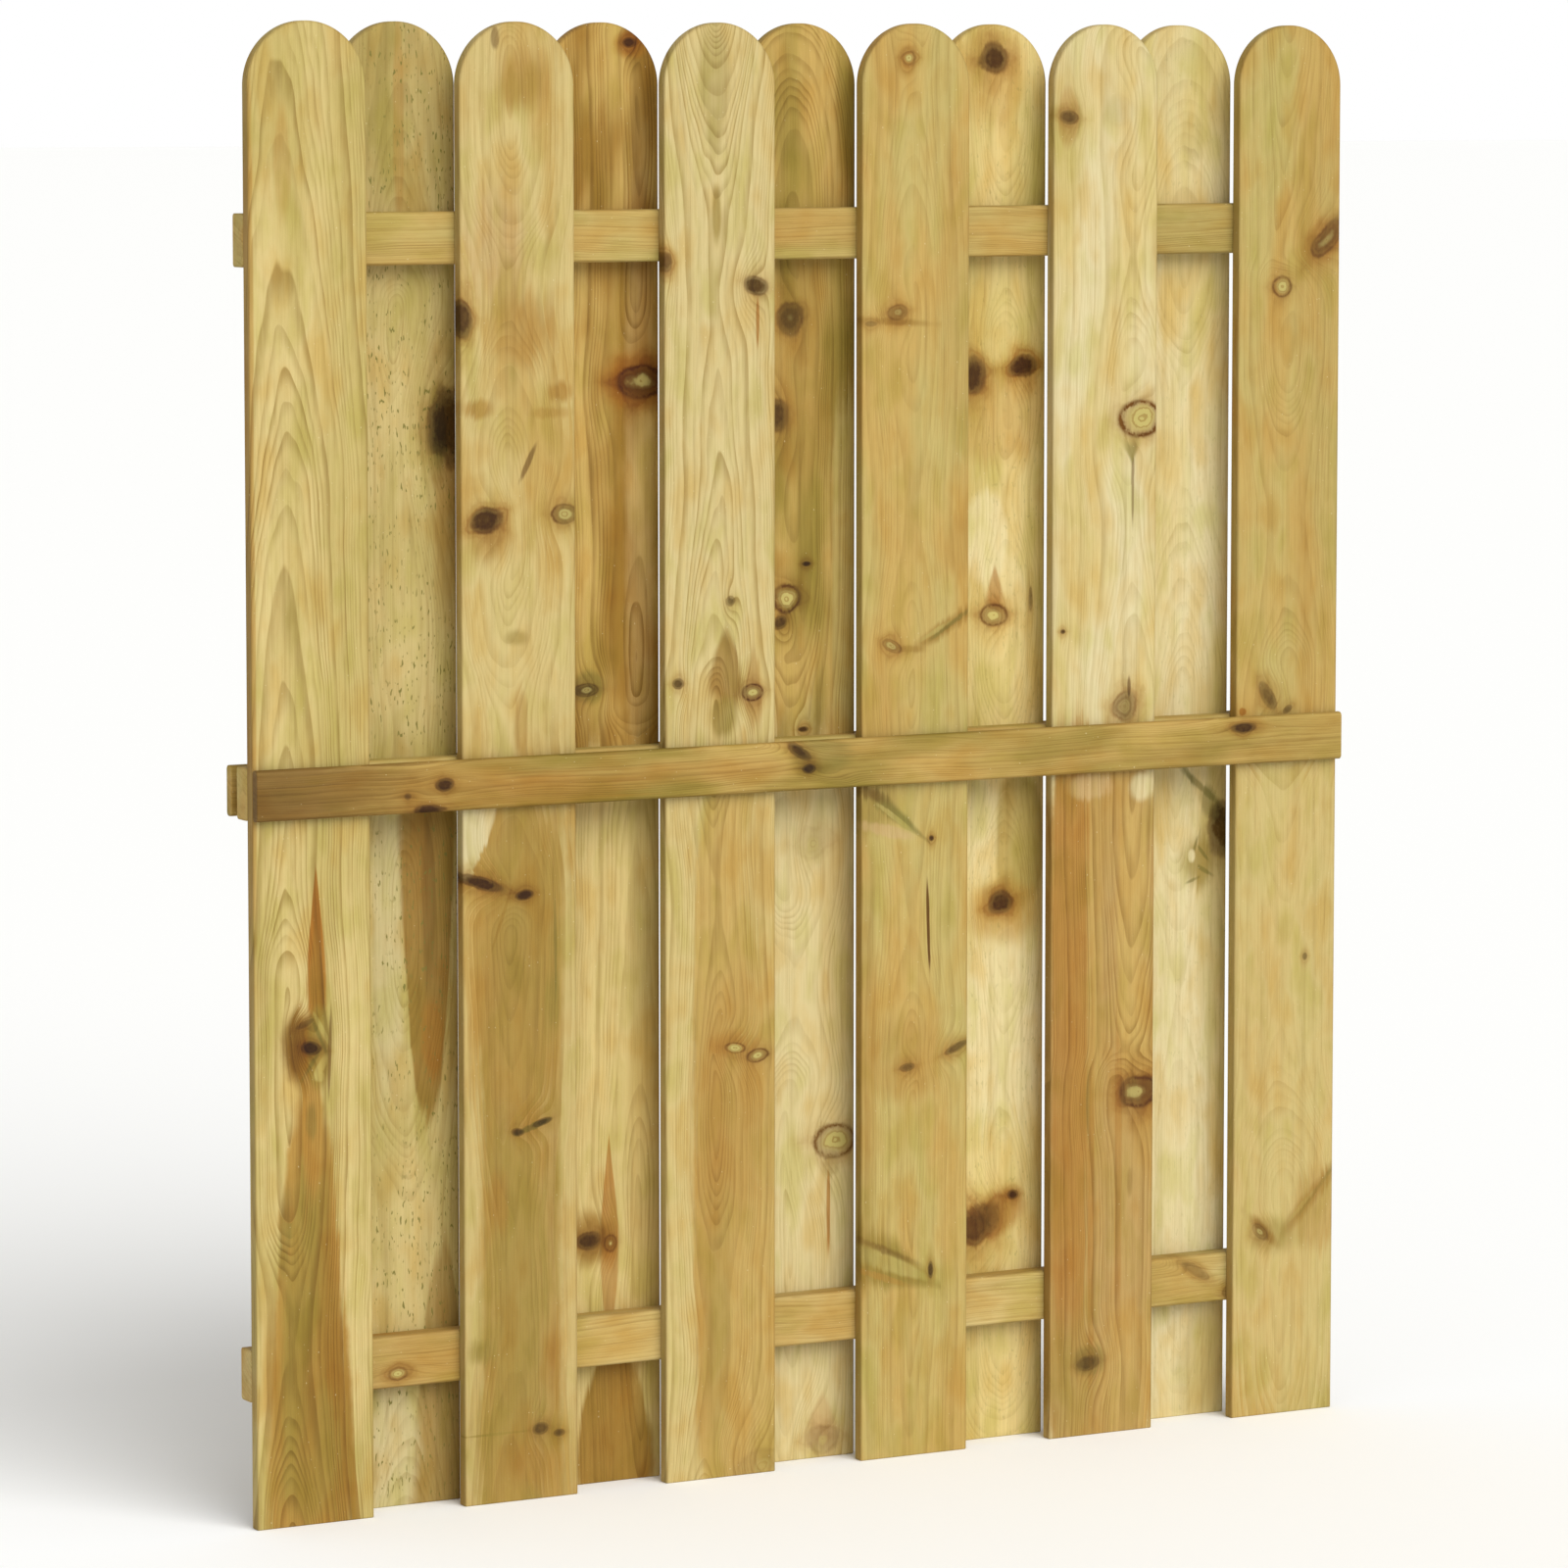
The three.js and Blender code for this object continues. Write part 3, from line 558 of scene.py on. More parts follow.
@node_group("Growth Rings", SHADER, {"number": "Lines, Tone"},
            vector="Bent", number="Rise, Heart, Depth, Gap, Seed")
def rings_group(sheet, given):
    """Growth rings of a trunk whose middle lies below the face, wandering along the board."""
    x, y, z = sheet.split(given.bent)
    seeded_z = z + given.seed * 977.0
    seeded = sheet.join(x, y, seeded_z)
    wander = (sheet.noise(sheet.join(0.0, 0.0, seeded_z), (1.0, 1.0, 260.0), 1.0) - 0.5) * 26.0
    waves = (sheet.noise(seeded, (48.0, 60.0, 200.0), 2.0, 0.55) - 0.5) * 10.0
    radius = sheet.distance(x - given.heart - wander, y + given.depth) + given.rise + waves
    count = radius / given.gap + sheet.math("SINE", radius * 0.19 + given.seed) * 0.8
    ring, part = sheet.math("FLOOR", count), sheet.math("FRACT", count)
    chance = sheet.make("ShaderNodeTexWhiteNoise", {"W": ring + given.seed}, noise_dimensions="1D")
    late = sheet.smooth(part, 0.30, 0.94) * sheet.smooth(part, 1.0, 0.93)
    fading = sheet.smooth(sheet.noise(seeded, (16.0, 30.0, 90.0), 2.0, 0.6), 0.25, 0.6, 0.35, 1.0)
    return late * (chance * 0.65 + 0.35) * fading, chance


@node_group("Stain", SHADER, {"colour": "Colour"}, colour="Colour, Tint", vector="Place",
            number=f"Ragged, {SPOT}, Taper, Edge, Corner, Strength")
def stain_group(sheet, given):
    """Tints a soft or sharp patch of the wood, wider at one end if it tapers."""
    across, along = spot_axes(sheet, given)
    up = along / (given.high * 0.5)
    width = sheet.math("MAXIMUM", given.wide * 0.5 * (given.taper * up + 1.0), NARROWEST_STAIN)
    side = sheet.math("ABSOLUTE", across / width)
    reach = (sheet.math("POWER", side, given.corner)
             + sheet.math("POWER", sheet.math("ABSOLUTE", up), given.corner))
    reach = sheet.math("POWER", reach, 1.0 / given.corner)
    ragged = reach + (given.ragged - 0.5) * (given.edge * 0.9 + 0.15)
    mask = sheet.smooth(ragged, given.edge * 0.5 + 1.0, 1.0 - given.edge * 0.5) * given.strength
    return sheet.mix(mask, given.colour, given.tint)


@node_group("Knot", SHADER, {"colour": "Colour", "number": "Height"}, vector="Place",
            colour="Colour, Body Colour, Rim Colour, Halo Colour, Glow Colour, Pale Colour",
            number=f"Height, Wobble, Fine, {SPOT}, Dark, Halo, Pale")
def knot_group(sheet, given):
    """Paints a knot: its eye-shaped halo, its soft dark body, its pale middle and its bark ring."""
    across, along = spot_axes(sheet, given)
    wobble, fine = given.wobble - 0.5, given.fine - 0.5
    side, up = across / (given.wide * 0.5), along / (given.high * 0.5)
    reach = sheet.distance(side, up) + wobble * (0.65 - given.pale * 0.45) + fine * 0.2
    eye = sheet.math("ABSOLUTE", along / (given.high * 0.85 + 5.0))
    wide_side = across / (given.wide * 0.85 + 2.0)
    eye = eye + wide_side * wide_side + wobble * 0.9 + fine * 0.3
    glow = sheet.smooth(eye, 1.9, 0.5) * given.halo
    bands = sheet.math("SINE", eye * 15.0 + wobble * 6.0) * 0.5 + 0.5
    halo = sheet.smooth(eye, 1.15, 0.45) * (bands * 0.4 + 0.6) * given.halo
    body = sheet.smooth(reach, 1.2, 0.5) * given.dark * (1.0 - given.pale * 0.85)
    inner = given.pale * 0.3 + 0.1
    middle = sheet.smooth(reach + wobble * 0.5, inner + 0.28 + given.pale * 0.2, inner)
    middle = middle * sheet.math("MINIMUM", given.pale * 1.6, 1.0)
    rim = sheet.bell((reach - 0.93) / 0.14) * sheet.smooth(wobble * 1.4 + fine, -0.28, 0.12, 0.7, 1.3)
    rim = rim * (given.pale * 0.6 + 0.4)
    rings = sheet.smooth(sheet.math("SINE", reach * 17.0 + wobble * 9.0), 0.2, 1.0, 0.0, 0.55)
    pith = sheet.multiply(rings, given.pale_colour, given.halo_colour)
    colour = sheet.multiply(glow * 0.9, given.colour, given.glow_colour)
    colour = sheet.multiply(halo * 0.85, colour, given.halo_colour)
    colour = sheet.multiply(body * (1.0 - fine * 0.3), colour, given.body_colour)
    colour = sheet.mix(middle, colour, pith)
    colour = sheet.multiply(rim * given.dark, colour, given.rim_colour)
    return colour, given.height - rim * given.dark * 0.4


# Size of the blotches across, through and along the grain, detail and roughness.
GRAINS = {
    "Fibre": ((1.3, 1.3, 60.0), 3.0, 0.65),
    "Streak": ((7.0, 8.0, 480.0), 3.0, 0.65),
    "Fine": ((5.0, 6.0, 6.0), 1.0, 0.6),
    "Wobble": ((24.0, 30.0, 24.0), 0.0, 0.5),
    "Cast": ((70.0, 40.0, 260.0), 2.0, 0.55),
    "Ragged": ((14.0, 20.0, 38.0), 3.0, 0.6),
    "Mottle": ((38.0, 40.0, 90.0), 2.0, 0.5),
}


@node_group("Fibres", SHADER, {"number": ", ".join((*GRAINS, "Speck", "Dust"))},
            vector="Place", number="Seed")
def fibre_group(sheet, given):
    """Fine fibres and streaks, the treatment's cast, specks of mould, and pale dust."""
    x, y, z = sheet.split(given.place)
    seeded = sheet.join(x, y, z + given.seed * 613.0)
    grains = {name: sheet.noise(seeded, *values) for name, values in GRAINS.items()}
    dashes = sheet.noise(seeded, (3.0, 8.0, 10.0), 1.0)
    dust = sheet.noise(seeded, (2.6, 4.0, 3.4), 0.0)
    region = sheet.smooth(grains["Wobble"] * 0.5 + grains["Cast"] * 0.5, 0.42, 0.56)
    return (*grains.values(), sheet.smooth(dashes, 0.62, 0.67) * region, sheet.smooth(dust, 0.80, 0.86))


@node_group("Edge Wear", SHADER, {"number": "Edge"}, vector="Place", number="Width, Crown, Ragged")
def edge_shade_group(sheet, given):
    """Painted shade along the edges: slightly darker edges. Width is across the piece; Crown is where a round
    top begins.
    """
    x, _, z = sheet.split(given.place)
    radius = given.width * 0.5
    above = sheet.math("MAXIMUM", z - given.crown, 0.0)
    inward = radius - sheet.distance(x - radius, above)
    return sheet.smooth(inward + (given.ragged - 0.5) * 3.0, 3.2, 0.2)


@node_group("Galvanised Metal", SHADER, {"number": "Shade, Height"}, vector="Place")
def metal_group(sheet, given):
    """Zinc flakes and dull scratches on galvanised wire."""
    flakes = sheet.noise(given.place, (1.6, 1.6, 1.6), 2.0, 0.6)
    scratches = sheet.noise(given.place, (0.5, 0.2, 2.5), 2.0, 0.7)
    return flakes * 0.6 + scratches * 0.4, flakes


# ---- Materials ----

RING_STRENGTH = 1.6
COVER_RAIL_BAND = (800.0, 870.0)    # the growth rings change their contrast behind the cover rail
LATE_WOOD = srgb(178, 160, 108)     # multiplies the colour where a growth ring ends
EARLY_WOOD = srgb(232, 223, 194)
WARM_CLOUD = srgb(246, 234, 208)
GREEN_CLOUD = srgb(238, 240, 212)
DEEPEST_HEART = 200.0               # most that a trunk's middle lies below the face
NARROWEST_STAIN = 0.3
LONG_STAIN = 300                    # a longer stain has squarer corners
SQUARE_CORNER, ROUND_CORNER = 4.0, 2.2

# Where a grain starts and is full, how strongly, and what it multiplies the colour by.
GRAIN_TINTS = (
    ("Fibre", 0.42, 0.70, 0.20, LATE_WOOD),
    ("Streak", 0.46, 0.72, 0.24, LATE_WOOD),
    ("Ragged", 0.46, 0.74, 0.24, EARLY_WOOD),
    ("Mottle", 0.46, 0.72, 1.0, WARM_CLOUD),
    ("Mottle", 0.54, 0.28, 1.0, GREEN_CLOUD),
)


def new_material(name, **plain):
    """A material with one Principled shader, whose plain inputs are set on their own sockets."""
    material = bpy.data.materials.new(name)
    material.use_nodes = True
    material.node_tree.nodes.clear()
    sheet = Sheet(material.node_tree)
    shader = sheet.node("ShaderNodeBsdfPrincipled",
                        {socket.replace("_", " "): value for socket, value in plain.items()})
    sheet.node("ShaderNodeOutputMaterial", {"Surface": Term(sheet, shader.outputs["BSDF"])})
    return material, sheet, shader


def paint(sheet, shader, colour, roughness, height, strength, distance):
    sheet.put(shader.inputs["Base Color"], colour)
    sheet.put(shader.inputs["Roughness"], roughness)
    bump = {"Strength": strength, "Distance": distance, "Height": height}
    sheet.put(shader.inputs["Normal"], sheet.make("ShaderNodeBump", bump))


def object_place(sheet):
    return Term(sheet, sheet.node("ShaderNodeTexCoord").outputs["Object"])


def spot_values(spot):
    return {"Across": spot.across, "Along": spot.along, "Wide": spot.wide, "High": spot.high,
            "Tilt": math.radians(spot.tilt)}


def figure_depth(sheet, along, length, figure):
    """Depth of the trunk's middle below the face, as a curve along the piece."""
    node = sheet.node("ShaderNodeFloatCurve", {"Value": along / length})
    curve = node.mapping.curves[0]
    points = [(where / length, depth / DEEPEST_HEART) for where, depth in figure]
    curve.points[0].location, curve.points[1].location = points[0], points[-1]
    for where, depth in points[1:-1]:
        curve.points.new(where, depth)
    node.mapping.update()
    return Term(sheet, node.outputs[0]) * DEEPEST_HEART


def wood_material(name, look, colours, mapping, width, length, crown, seed):
    """Pine with the look's growth rings, stains and knots. The mapping leads to the corner it counts from."""
    material, sheet, shader = new_material(name, Specular_IOR_Level=0.2)
    place = sheet.make("ShaderNodeMapping",
                       {"Vector": object_place(sheet), **mapping, "Scale": (MILLIMETRES,) * 3})
    along = sheet.split(place)[2]
    bent, rise = place, 0.0
    for knot in look.knots:
        out = sheet.use(bend_group, Place=place, Bent=bent, Rise=rise, **spot_values(knot))
        bent, rise = out["Bent"], out["Rise"]
    depth = figure_depth(sheet, along, length, look.figure)
    rings = sheet.use(rings_group, Bent=bent, Rise=rise, Heart=look.heart, Depth=depth, Gap=look.gap,
                      Seed=seed)
    fibre = sheet.use(fibre_group, Place=place, Seed=seed)
    edge_shade = sheet.use(edge_shade_group, Place=place, Width=width, Crown=crown, Ragged=fibre["Ragged"])

    colour = sheet.mix(sheet.smooth(fibre["Cast"], 0.38, 0.62), look.tint(colours, look.tone),
                       look.tint(colours, look.second_tone))
    edge_noise = fibre["Ragged"] * 0.55 + rings["Tone"] * 0.45
    for stain in look.stains:
        colour = sheet.use(stain_group, Colour=colour, Place=place, Ragged=edge_noise, **spot_values(stain),
                           Taper=stain.taper, Edge=stain.edge, Strength=stain.strength,
                           Corner=SQUARE_CORNER if stain.high > LONG_STAIN else ROUND_CORNER,
                           Tint=look.tint(colours, stain.tint))["Colour"]
    upper, lower = look.contrast
    contrast = sheet.smooth(along, *COVER_RAIL_BAND, lower * RING_STRENGTH, upper * RING_STRENGTH)
    colour = sheet.multiply(rings["Lines"] * contrast, colour, LATE_WOOD)
    colour = sheet.multiply(sheet.smooth(rings["Tone"], 0.3, 1.0, 0.0, 0.3) * contrast, colour, EARLY_WOOD)
    for grain, start, full, strength, tint in GRAIN_TINTS:
        colour = sheet.multiply(sheet.smooth(fibre[grain], start, full, 0.0, strength), colour, tint)
    colour = sheet.mix(fibre["Dust"] * 0.35, colour, tuple(colours.ivory))
    if look.specks:
        colour = sheet.mix(fibre["Speck"] * (look.specks * 0.9), colour, tuple(colours.moss))
    # Painted shade: the wood is darkened along the edges of each piece and round a board's top
    colour = sheet.multiply(edge_shade["Edge"] * 0.35, colour, LATE_WOOD)
    height = rings["Lines"] * 0.3 + fibre["Fibre"] * 0.4
    for knot in look.knots:
        out = sheet.use(knot_group, Colour=colour, Height=height, Place=place, Wobble=fibre["Wobble"],
                        Fine=fibre["Fine"], **spot_values(knot), Dark=knot.dark, Halo=knot.halo,
                        Pale=knot.pale, Body_Colour=tuple(colours.knot), Rim_Colour=tuple(colours.rim),
                        Halo_Colour=tuple(colours.halo), Glow_Colour=tuple(colours.glow),
                        Pale_Colour=look.tint(colours, "pale"))
        colour, height = out["Colour"], out["Height"]
    paint(sheet, shader, colour, 0.74 - fibre["Fibre"] * 0.16, height, strength=0.5, distance=0.0006)
    return material


def board_mapping(left, face, foot):
    """To places on an upright board, counted from its left edge, front face and foot."""
    return {"Location": tuple(-value * MILLIMETRES for value in (left, face, foot))}


def rail_mapping(left, face, top):
    """To places on a level rail, counted down from its top edge, from its front face and its left end."""
    return {"Location": (top * MILLIMETRES, -face * MILLIMETRES, -left * MILLIMETRES),
            "Rotation": (0.0, -math.pi / 2, 0.0)}


def wire_material():
    material, sheet, shader = new_material("galvanised wire", Metallic=1.0)
    place = sheet.vector_math("MULTIPLY", object_place(sheet), (MILLIMETRES,) * 3)
    metal = sheet.use(metal_group, Place=place)
    zinc = sheet.mix(metal["Shade"], srgb(120, 118, 112), srgb(176, 176, 172))
    paint(sheet, shader, zinc, sheet.smooth(metal["Shade"], 0.2, 0.8, 0.38, 0.62), metal["Height"],
          strength=0.3, distance=0.0002)
    return material


# ---- Geometry Nodes ----

WELD = 1e-5                         # points closer than this are one
ROUNDING_STEPS, BEND_STEPS, WIRE_SIDES = 5, 4, 10
SQUARE_ON = 0.9995                  # a face that looks this squarely along an axis is flat
ROW = "First, Pitch, Level, Surface, Upright, Turn, Reach"
ROWS = ("First Row", "Second Row")


def transform(sheet, geometry, translation=None, rotation=None):
    return sheet.make("GeometryNodeTransform", {"Geometry": geometry, "Translation": translation,
                                                "Rotation": rotation})


def turned(sheet, given, geometry):
    """Turned to its own side of the leaf."""
    return transform(sheet, geometry, rotation=sheet.join(0.0, 0.0, given.turn))


@node_group("Gate Board", GEOMETRY, {"geometry": "Geometry"}, count="Arc Steps", material="Material",
            number="Width, Height, Thickness, Centre, Inner Face, Turn")
def board_tree(sheet, given):
    """A board with a half-round top, facing -Y, from its width, height and thickness."""
    foot_corners = 2.0
    circle = sheet.make("GeometryNodeCurvePrimitiveCircle",
                        {"Resolution": given.arc_steps + (foot_corners + 1.0), "Radius": 1.0})
    index = sheet.make("GeometryNodeInputIndex")
    is_foot = sheet.math("LESS_THAN", index, foot_corners - 0.5)
    arc_angle = (index - foot_corners) * math.pi / given.arc_steps
    angle = is_foot * (1.0 - index) * math.pi + (1.0 - is_foot) * arc_angle
    radius = given.width * 0.5
    x = radius * sheet.math("COSINE", angle)
    y = (1.0 - is_foot) * (given.height - radius + radius * sheet.math("SINE", angle))
    outline = sheet.make("GeometryNodeSetPosition", {"Geometry": circle, "Position": sheet.join(x, y, 0.0)})
    face = sheet.make("GeometryNodeFillCurve", {"Curve": outline}, mode="NGONS")
    block = sheet.make("GeometryNodeExtrudeMesh", {"Mesh": face, "Offset Scale": given.thickness,
                                                   "Individual": False}, mode="FACES")
    back = sheet.make("GeometryNodeFlipFaces", {"Mesh": face})
    whole = sheet.make("GeometryNodeJoinGeometry", {"Geometry": [block, back]})
    whole = sheet.make("GeometryNodeMergeByDistance", {"Geometry": whole, "Distance": WELD})
    place = sheet.join(given.centre, given.inner_face, 0.0)
    upright = transform(sheet, whole, place, (math.pi / 2, 0.0, 0.0))
    return sheet.real(turned(sheet, given, upright), given.material)


@node_group("Gate Rail", GEOMETRY, {"geometry": "Geometry"}, material="Material",
            number="Length, Height, Depth, Rounding, Face, Level, Turn")
def rail_tree(sheet, given):
    """A rail along X with rounded long edges, facing -Y."""
    section = sheet.make("GeometryNodeCurvePrimitiveQuadrilateral",
                         {"Width": given.depth, "Height": given.height}, mode="RECTANGLE")
    section = sheet.make("GeometryNodeFilletCurve",
                         {"Curve": section, "Count": ROUNDING_STEPS, "Radius": given.rounding}, mode="POLY")
    start, end = (sheet.join(given.length * half, 0.0, 0.0) for half in (-0.5, 0.5))
    path = sheet.make("GeometryNodeCurvePrimitiveLine", {"Start": start, "End": end})
    path = sheet.make("GeometryNodeSetCurveNormal", {"Curve": path}, mode="Z_UP")
    bar = sheet.make("GeometryNodeCurveToMesh", {"Curve": path, "Profile Curve": section, "Fill Caps": True})
    middle = given.face + given.depth * 0.5
    placed = transform(sheet, bar, sheet.join(0.0, middle, given.level))
    return sheet.real(turned(sheet, given, placed), given.material)


def staple_row(sheet, row, staple):
    """Copies of a staple along a row, driven in from the surface of one side."""
    start = sheet.join(row.first, row.surface, row.level)
    line = sheet.make("GeometryNodeMeshLine", {"Count": row.count, "Start Location": start,
                                               "Offset": sheet.join(row.pitch, 0.0, 0.0)}, mode="OFFSET")
    copies = sheet.make("GeometryNodeInstanceOnPoints",
                        {"Points": line, "Instance": staple, "Rotation": sheet.join(0.0, row.upright, 0.0)})
    real = sheet.make("GeometryNodeRealizeInstances", {"Geometry": copies})
    return turned(sheet, row, real)


@node_group("Gate Staples", GEOMETRY, {"geometry": "Geometry"}, count="Count", material="Material",
            number=f"{ROW}, Crown, Wire, Sink, Bend")
def staple_tree(sheet, given):
    """A row of bent wire staples, their crowns just below the surface."""
    half_wire = given.wire * 0.5
    leg = given.crown * 0.5 - half_wire
    crown_depth = given.sink + half_wire
    points = [sheet.join(-leg, given.reach, 0.0), sheet.join(-leg, crown_depth, 0.0),
              sheet.join(leg, crown_depth, 0.0), sheet.join(leg, given.reach, 0.0)]
    line = sheet.make("GeometryNodeCurvePrimitiveQuadrilateral",
                      {f"Point {i + 1}": point for i, point in enumerate(points)}, mode="POINTS")
    line = sheet.make("GeometryNodeSetSplineCyclic", {"Geometry": line, "Cyclic": False})
    line = sheet.make("GeometryNodeFilletCurve",
                      {"Curve": line, "Count": BEND_STEPS, "Radius": given.bend + half_wire}, mode="POLY")
    section = sheet.make("GeometryNodeCurvePrimitiveCircle", {"Resolution": WIRE_SIDES, "Radius": half_wire})
    wire = sheet.make("GeometryNodeCurveToMesh", {"Curve": line, "Profile Curve": section, "Fill Caps": True})
    row = staple_row(sheet, given, wire)
    smooth = sheet.make("GeometryNodeSetShadeSmooth", {"Geometry": row, "Shade Smooth": True})
    return sheet.real(smooth, given.material)


@node_group("Staple Slots", GEOMETRY, {"geometry": "Geometry"}, geometry="Geometry", material="Material",
            count=", ".join(f"{row} Count" for row in ROWS),
            number="Crown, Wire, Sink, Clearance, " + ", ".join(f"{row} {name}" for row in ROWS
                                                                for name in ROW.split(", ")))
def slots_tree(sheet, given):
    """Cuts room for two rows of staples, whose crowns the wood has closed over, out of it."""
    wide = given.wire + given.clearance * 2.0
    leg = (given.crown - given.wire) * 0.5
    mouth = given.sink * 0.5
    cutters = []
    for prefix in ("first_row_", "second_row_"):
        row = SimpleNamespace(**{name.removeprefix(prefix): value for name, value in vars(given).items()
                                 if name.startswith(prefix)})
        floor = given.sink + given.wire + given.clearance
        trench = box(sheet, given.crown + given.clearance * 2.0, mouth, floor, wide)
        hole = box(sheet, wide, mouth * 1.2, row.reach + given.clearance, wide)
        legs = [transform(sheet, hole, sheet.join(side, 0.0, 0.0)) for side in (-leg, leg)]
        staple = sheet.make("GeometryNodeJoinGeometry", {"Geometry": [trench, *legs]})
        cutters.append(staple_row(sheet, row, staple))
    cut = sheet.make("GeometryNodeMeshBoolean",
                     {"Mesh 1": given.geometry, "Mesh 2": cutters, "Self Intersection": True},
                     operation="DIFFERENCE", solver="EXACT")
    flat = sheet.math("GREATER_THAN", squareness(sheet, sheet.make("GeometryNodeInputNormal")), SQUARE_ON)
    smooth = sheet.make("GeometryNodeSetShadeSmooth", {"Geometry": cut, "Shade Smooth": 1.0 - flat})
    return sheet.real(smooth, given.material)


def squareness(sheet, normal):
    """How squarely a face looks along an axis, from 0 to 1."""
    x, y, z = [sheet.math("ABSOLUTE", part) for part in sheet.split(normal)]
    return sheet.math("MAXIMUM", sheet.math("MAXIMUM", x, y), z)


def box(sheet, width, near, far, height):
    """A block from near to far along Y, centred on the other axes."""
    cube = sheet.make("GeometryNodeMeshCube", {"Size": sheet.join(width, far - near, height)})
    return transform(sheet, cube, sheet.join(0.0, (near + far) * 0.5, 0.0))


# ---- Making pieces ----

SLIVER = 1e-6
EASING_STEPS = 3
SHARP_EDGE = math.radians(60)
BACK_BOARD_SEED, RAIL_SEED, COVER_RAIL_SEED = 20, 40, 50


def new_piece(name):
    piece = bpy.data.objects.new(name, bpy.data.meshes.new(name))
    bpy.context.scene.collection.objects.link(piece)
    return piece


def add_nodes(piece, tree, values):
    """Adds a Geometry Nodes modifier, its inputs set by the names of their sockets."""
    modifier = piece.modifiers.new(tree.name, "NODES")
    modifier.node_group = tree
    for item in tree.interface.items_tree:
        if item.item_type == "SOCKET" and item.in_out == "INPUT" and item.name in values:
            modifier[item.identifier] = values[item.name]


def add_easing(piece, width):
    """Rounds the square edges."""
    bevel = piece.modifiers.new("easing", "BEVEL")
    bevel.width = width
    bevel.segments = EASING_STEPS
    bevel.limit_method = "ANGLE"
    bevel.angle_limit = SHARP_EDGE


def settle(piece):
    """Turns the piece's modifiers into a plain mesh."""
    evaluated = piece.evaluated_get(bpy.context.evaluated_depsgraph_get())
    mesh = bpy.data.meshes.new_from_object(evaluated)
    if len(mesh.polygons) == 0:
        raise RuntimeError(f"{piece.name} came out empty")
    mesh.name = piece.name
    remove_slivers(mesh)
    piece.modifiers.clear()
    piece.data = mesh
    return piece


def remove_slivers(mesh):
    """Closes faces that a cut has left with no area."""
    work = bmesh.new()
    work.from_mesh(mesh)
    bmesh.ops.dissolve_degenerate(work, dist=SLIVER, edges=work.edges)
    work.to_mesh(mesh)
    work.free()


def claim(piece, slot, *nodes):
    """Hands the finished piece to the frame, in place of the CAD nodes it stands for."""
    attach(piece, BODY)
    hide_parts(*nodes)


def turn_of(side):
    return 0.0 if side == "front" else math.pi


def outward(side, node):
    """The box of a CAD node in a frame where its side of the leaf faces -Y: lowest and highest corner."""
    low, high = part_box(node)
    if side == "front":
        return low, high
    return Vector((-high.x, -high.y, low.z)), Vector((-low.x, -low.y, high.z))


class Row(NamedTuple):
    """A row of staples as its own side of the leaf sees it, facing -Y."""
    count: int
    first: float
    pitch: float
    level: float
    surface: float
    reach: float
    upright: float
    turn: float

    def values(self, prefix=""):
        return {f"{prefix}{name.title()}": value for name, value in self._asdict().items()}


def staple_rows(side, kind):
    """The row of staples of one kind on one side, from the frame."""
    count = SIDES[side]
    boxes = [outward(side, f"{side}_{kind}_staple_{i + 1}") for i in range(count)]
    centres = sorted((low.x + high.x) / 2 for low, high in boxes)
    low, high = boxes[0]
    upright = high.z - low.z > high.x - low.x
    return Row(count=count, first=centres[0], pitch=BOARD_PITCH, level=(low.z + high.z) / 2,
               surface=low.y - STAPLE_SINK, reach=high.y - low.y + STAPLE_SINK,
               upright=math.pi / 2 if upright else 0.0, turn=turn_of(side))


def staple_values(sizes):
    return {"Crown": STAPLE_CROWN, "Wire": STAPLE_WIRE, "Sink": STAPLE_SINK,
            "Clearance": sizes.staple_clearance}


def cut_slots(piece, rows, material, sizes):
    first, second = rows
    add_nodes(piece, slots_tree(), {**staple_values(sizes), **first.values(f"{ROWS[0]} "),
                                    **second.values(f"{ROWS[1]} "), "Material": material})


def make_board(side, number, look, sizes, colours):
    node = f"{side}_board_{number}"
    low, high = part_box(node)
    own_low, own_high = outward(side, node)
    width, height = high.x - low.x, high.z
    crown = height - width / 2
    seed = number + (BACK_BOARD_SEED if side == "back" else 0)
    material = wood_material(f"{side} board {number} wood", look, colours, board_mapping(low.x, low.y, 0.0),
                             width * MILLIMETRES, height * MILLIMETRES, crown * MILLIMETRES, seed)
    piece = new_piece(f"{node}_pine")
    centre = (own_low.x + own_high.x) / 2
    add_nodes(piece, board_tree(),
              {"Width": width, "Height": height, "Thickness": high.y - low.y, "Centre": centre,
               "Inner Face": own_high.y, "Arc Steps": sizes.board_arc_steps, "Turn": turn_of(side),
               "Material": material})
    add_easing(piece, sizes.board_easing)
    rows = [staple_rows(side, kind)._replace(count=1, first=centre) for kind in ("top", "bottom")]
    cut_slots(piece, rows, material, sizes)
    claim(settle(piece), f"{side}_board_wood", node)


def make_rail(node, slot, side, look, rounding, rows, seed, sizes, colours):
    low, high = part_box(node)
    own_low, _ = outward(side, node)
    length, height = high.x - low.x, high.z - low.z
    no_crown = 2.0 * length
    material = wood_material(node.replace("_", " ") + " wood", look, colours,
                             rail_mapping(low.x, low.y, high.z), height * MILLIMETRES,
                             length * MILLIMETRES, no_crown * MILLIMETRES, seed)
    piece = new_piece(f"{node}_pine")
    add_nodes(piece, rail_tree(),
              {"Length": length, "Height": height, "Depth": high.y - low.y, "Rounding": rounding,
               "Face": own_low.y, "Level": (low.z + high.z) / 2, "Turn": turn_of(side), "Material": material})
    add_easing(piece, sizes.end_easing)
    cut_slots(piece, rows, material, sizes)
    claim(settle(piece), slot, node)


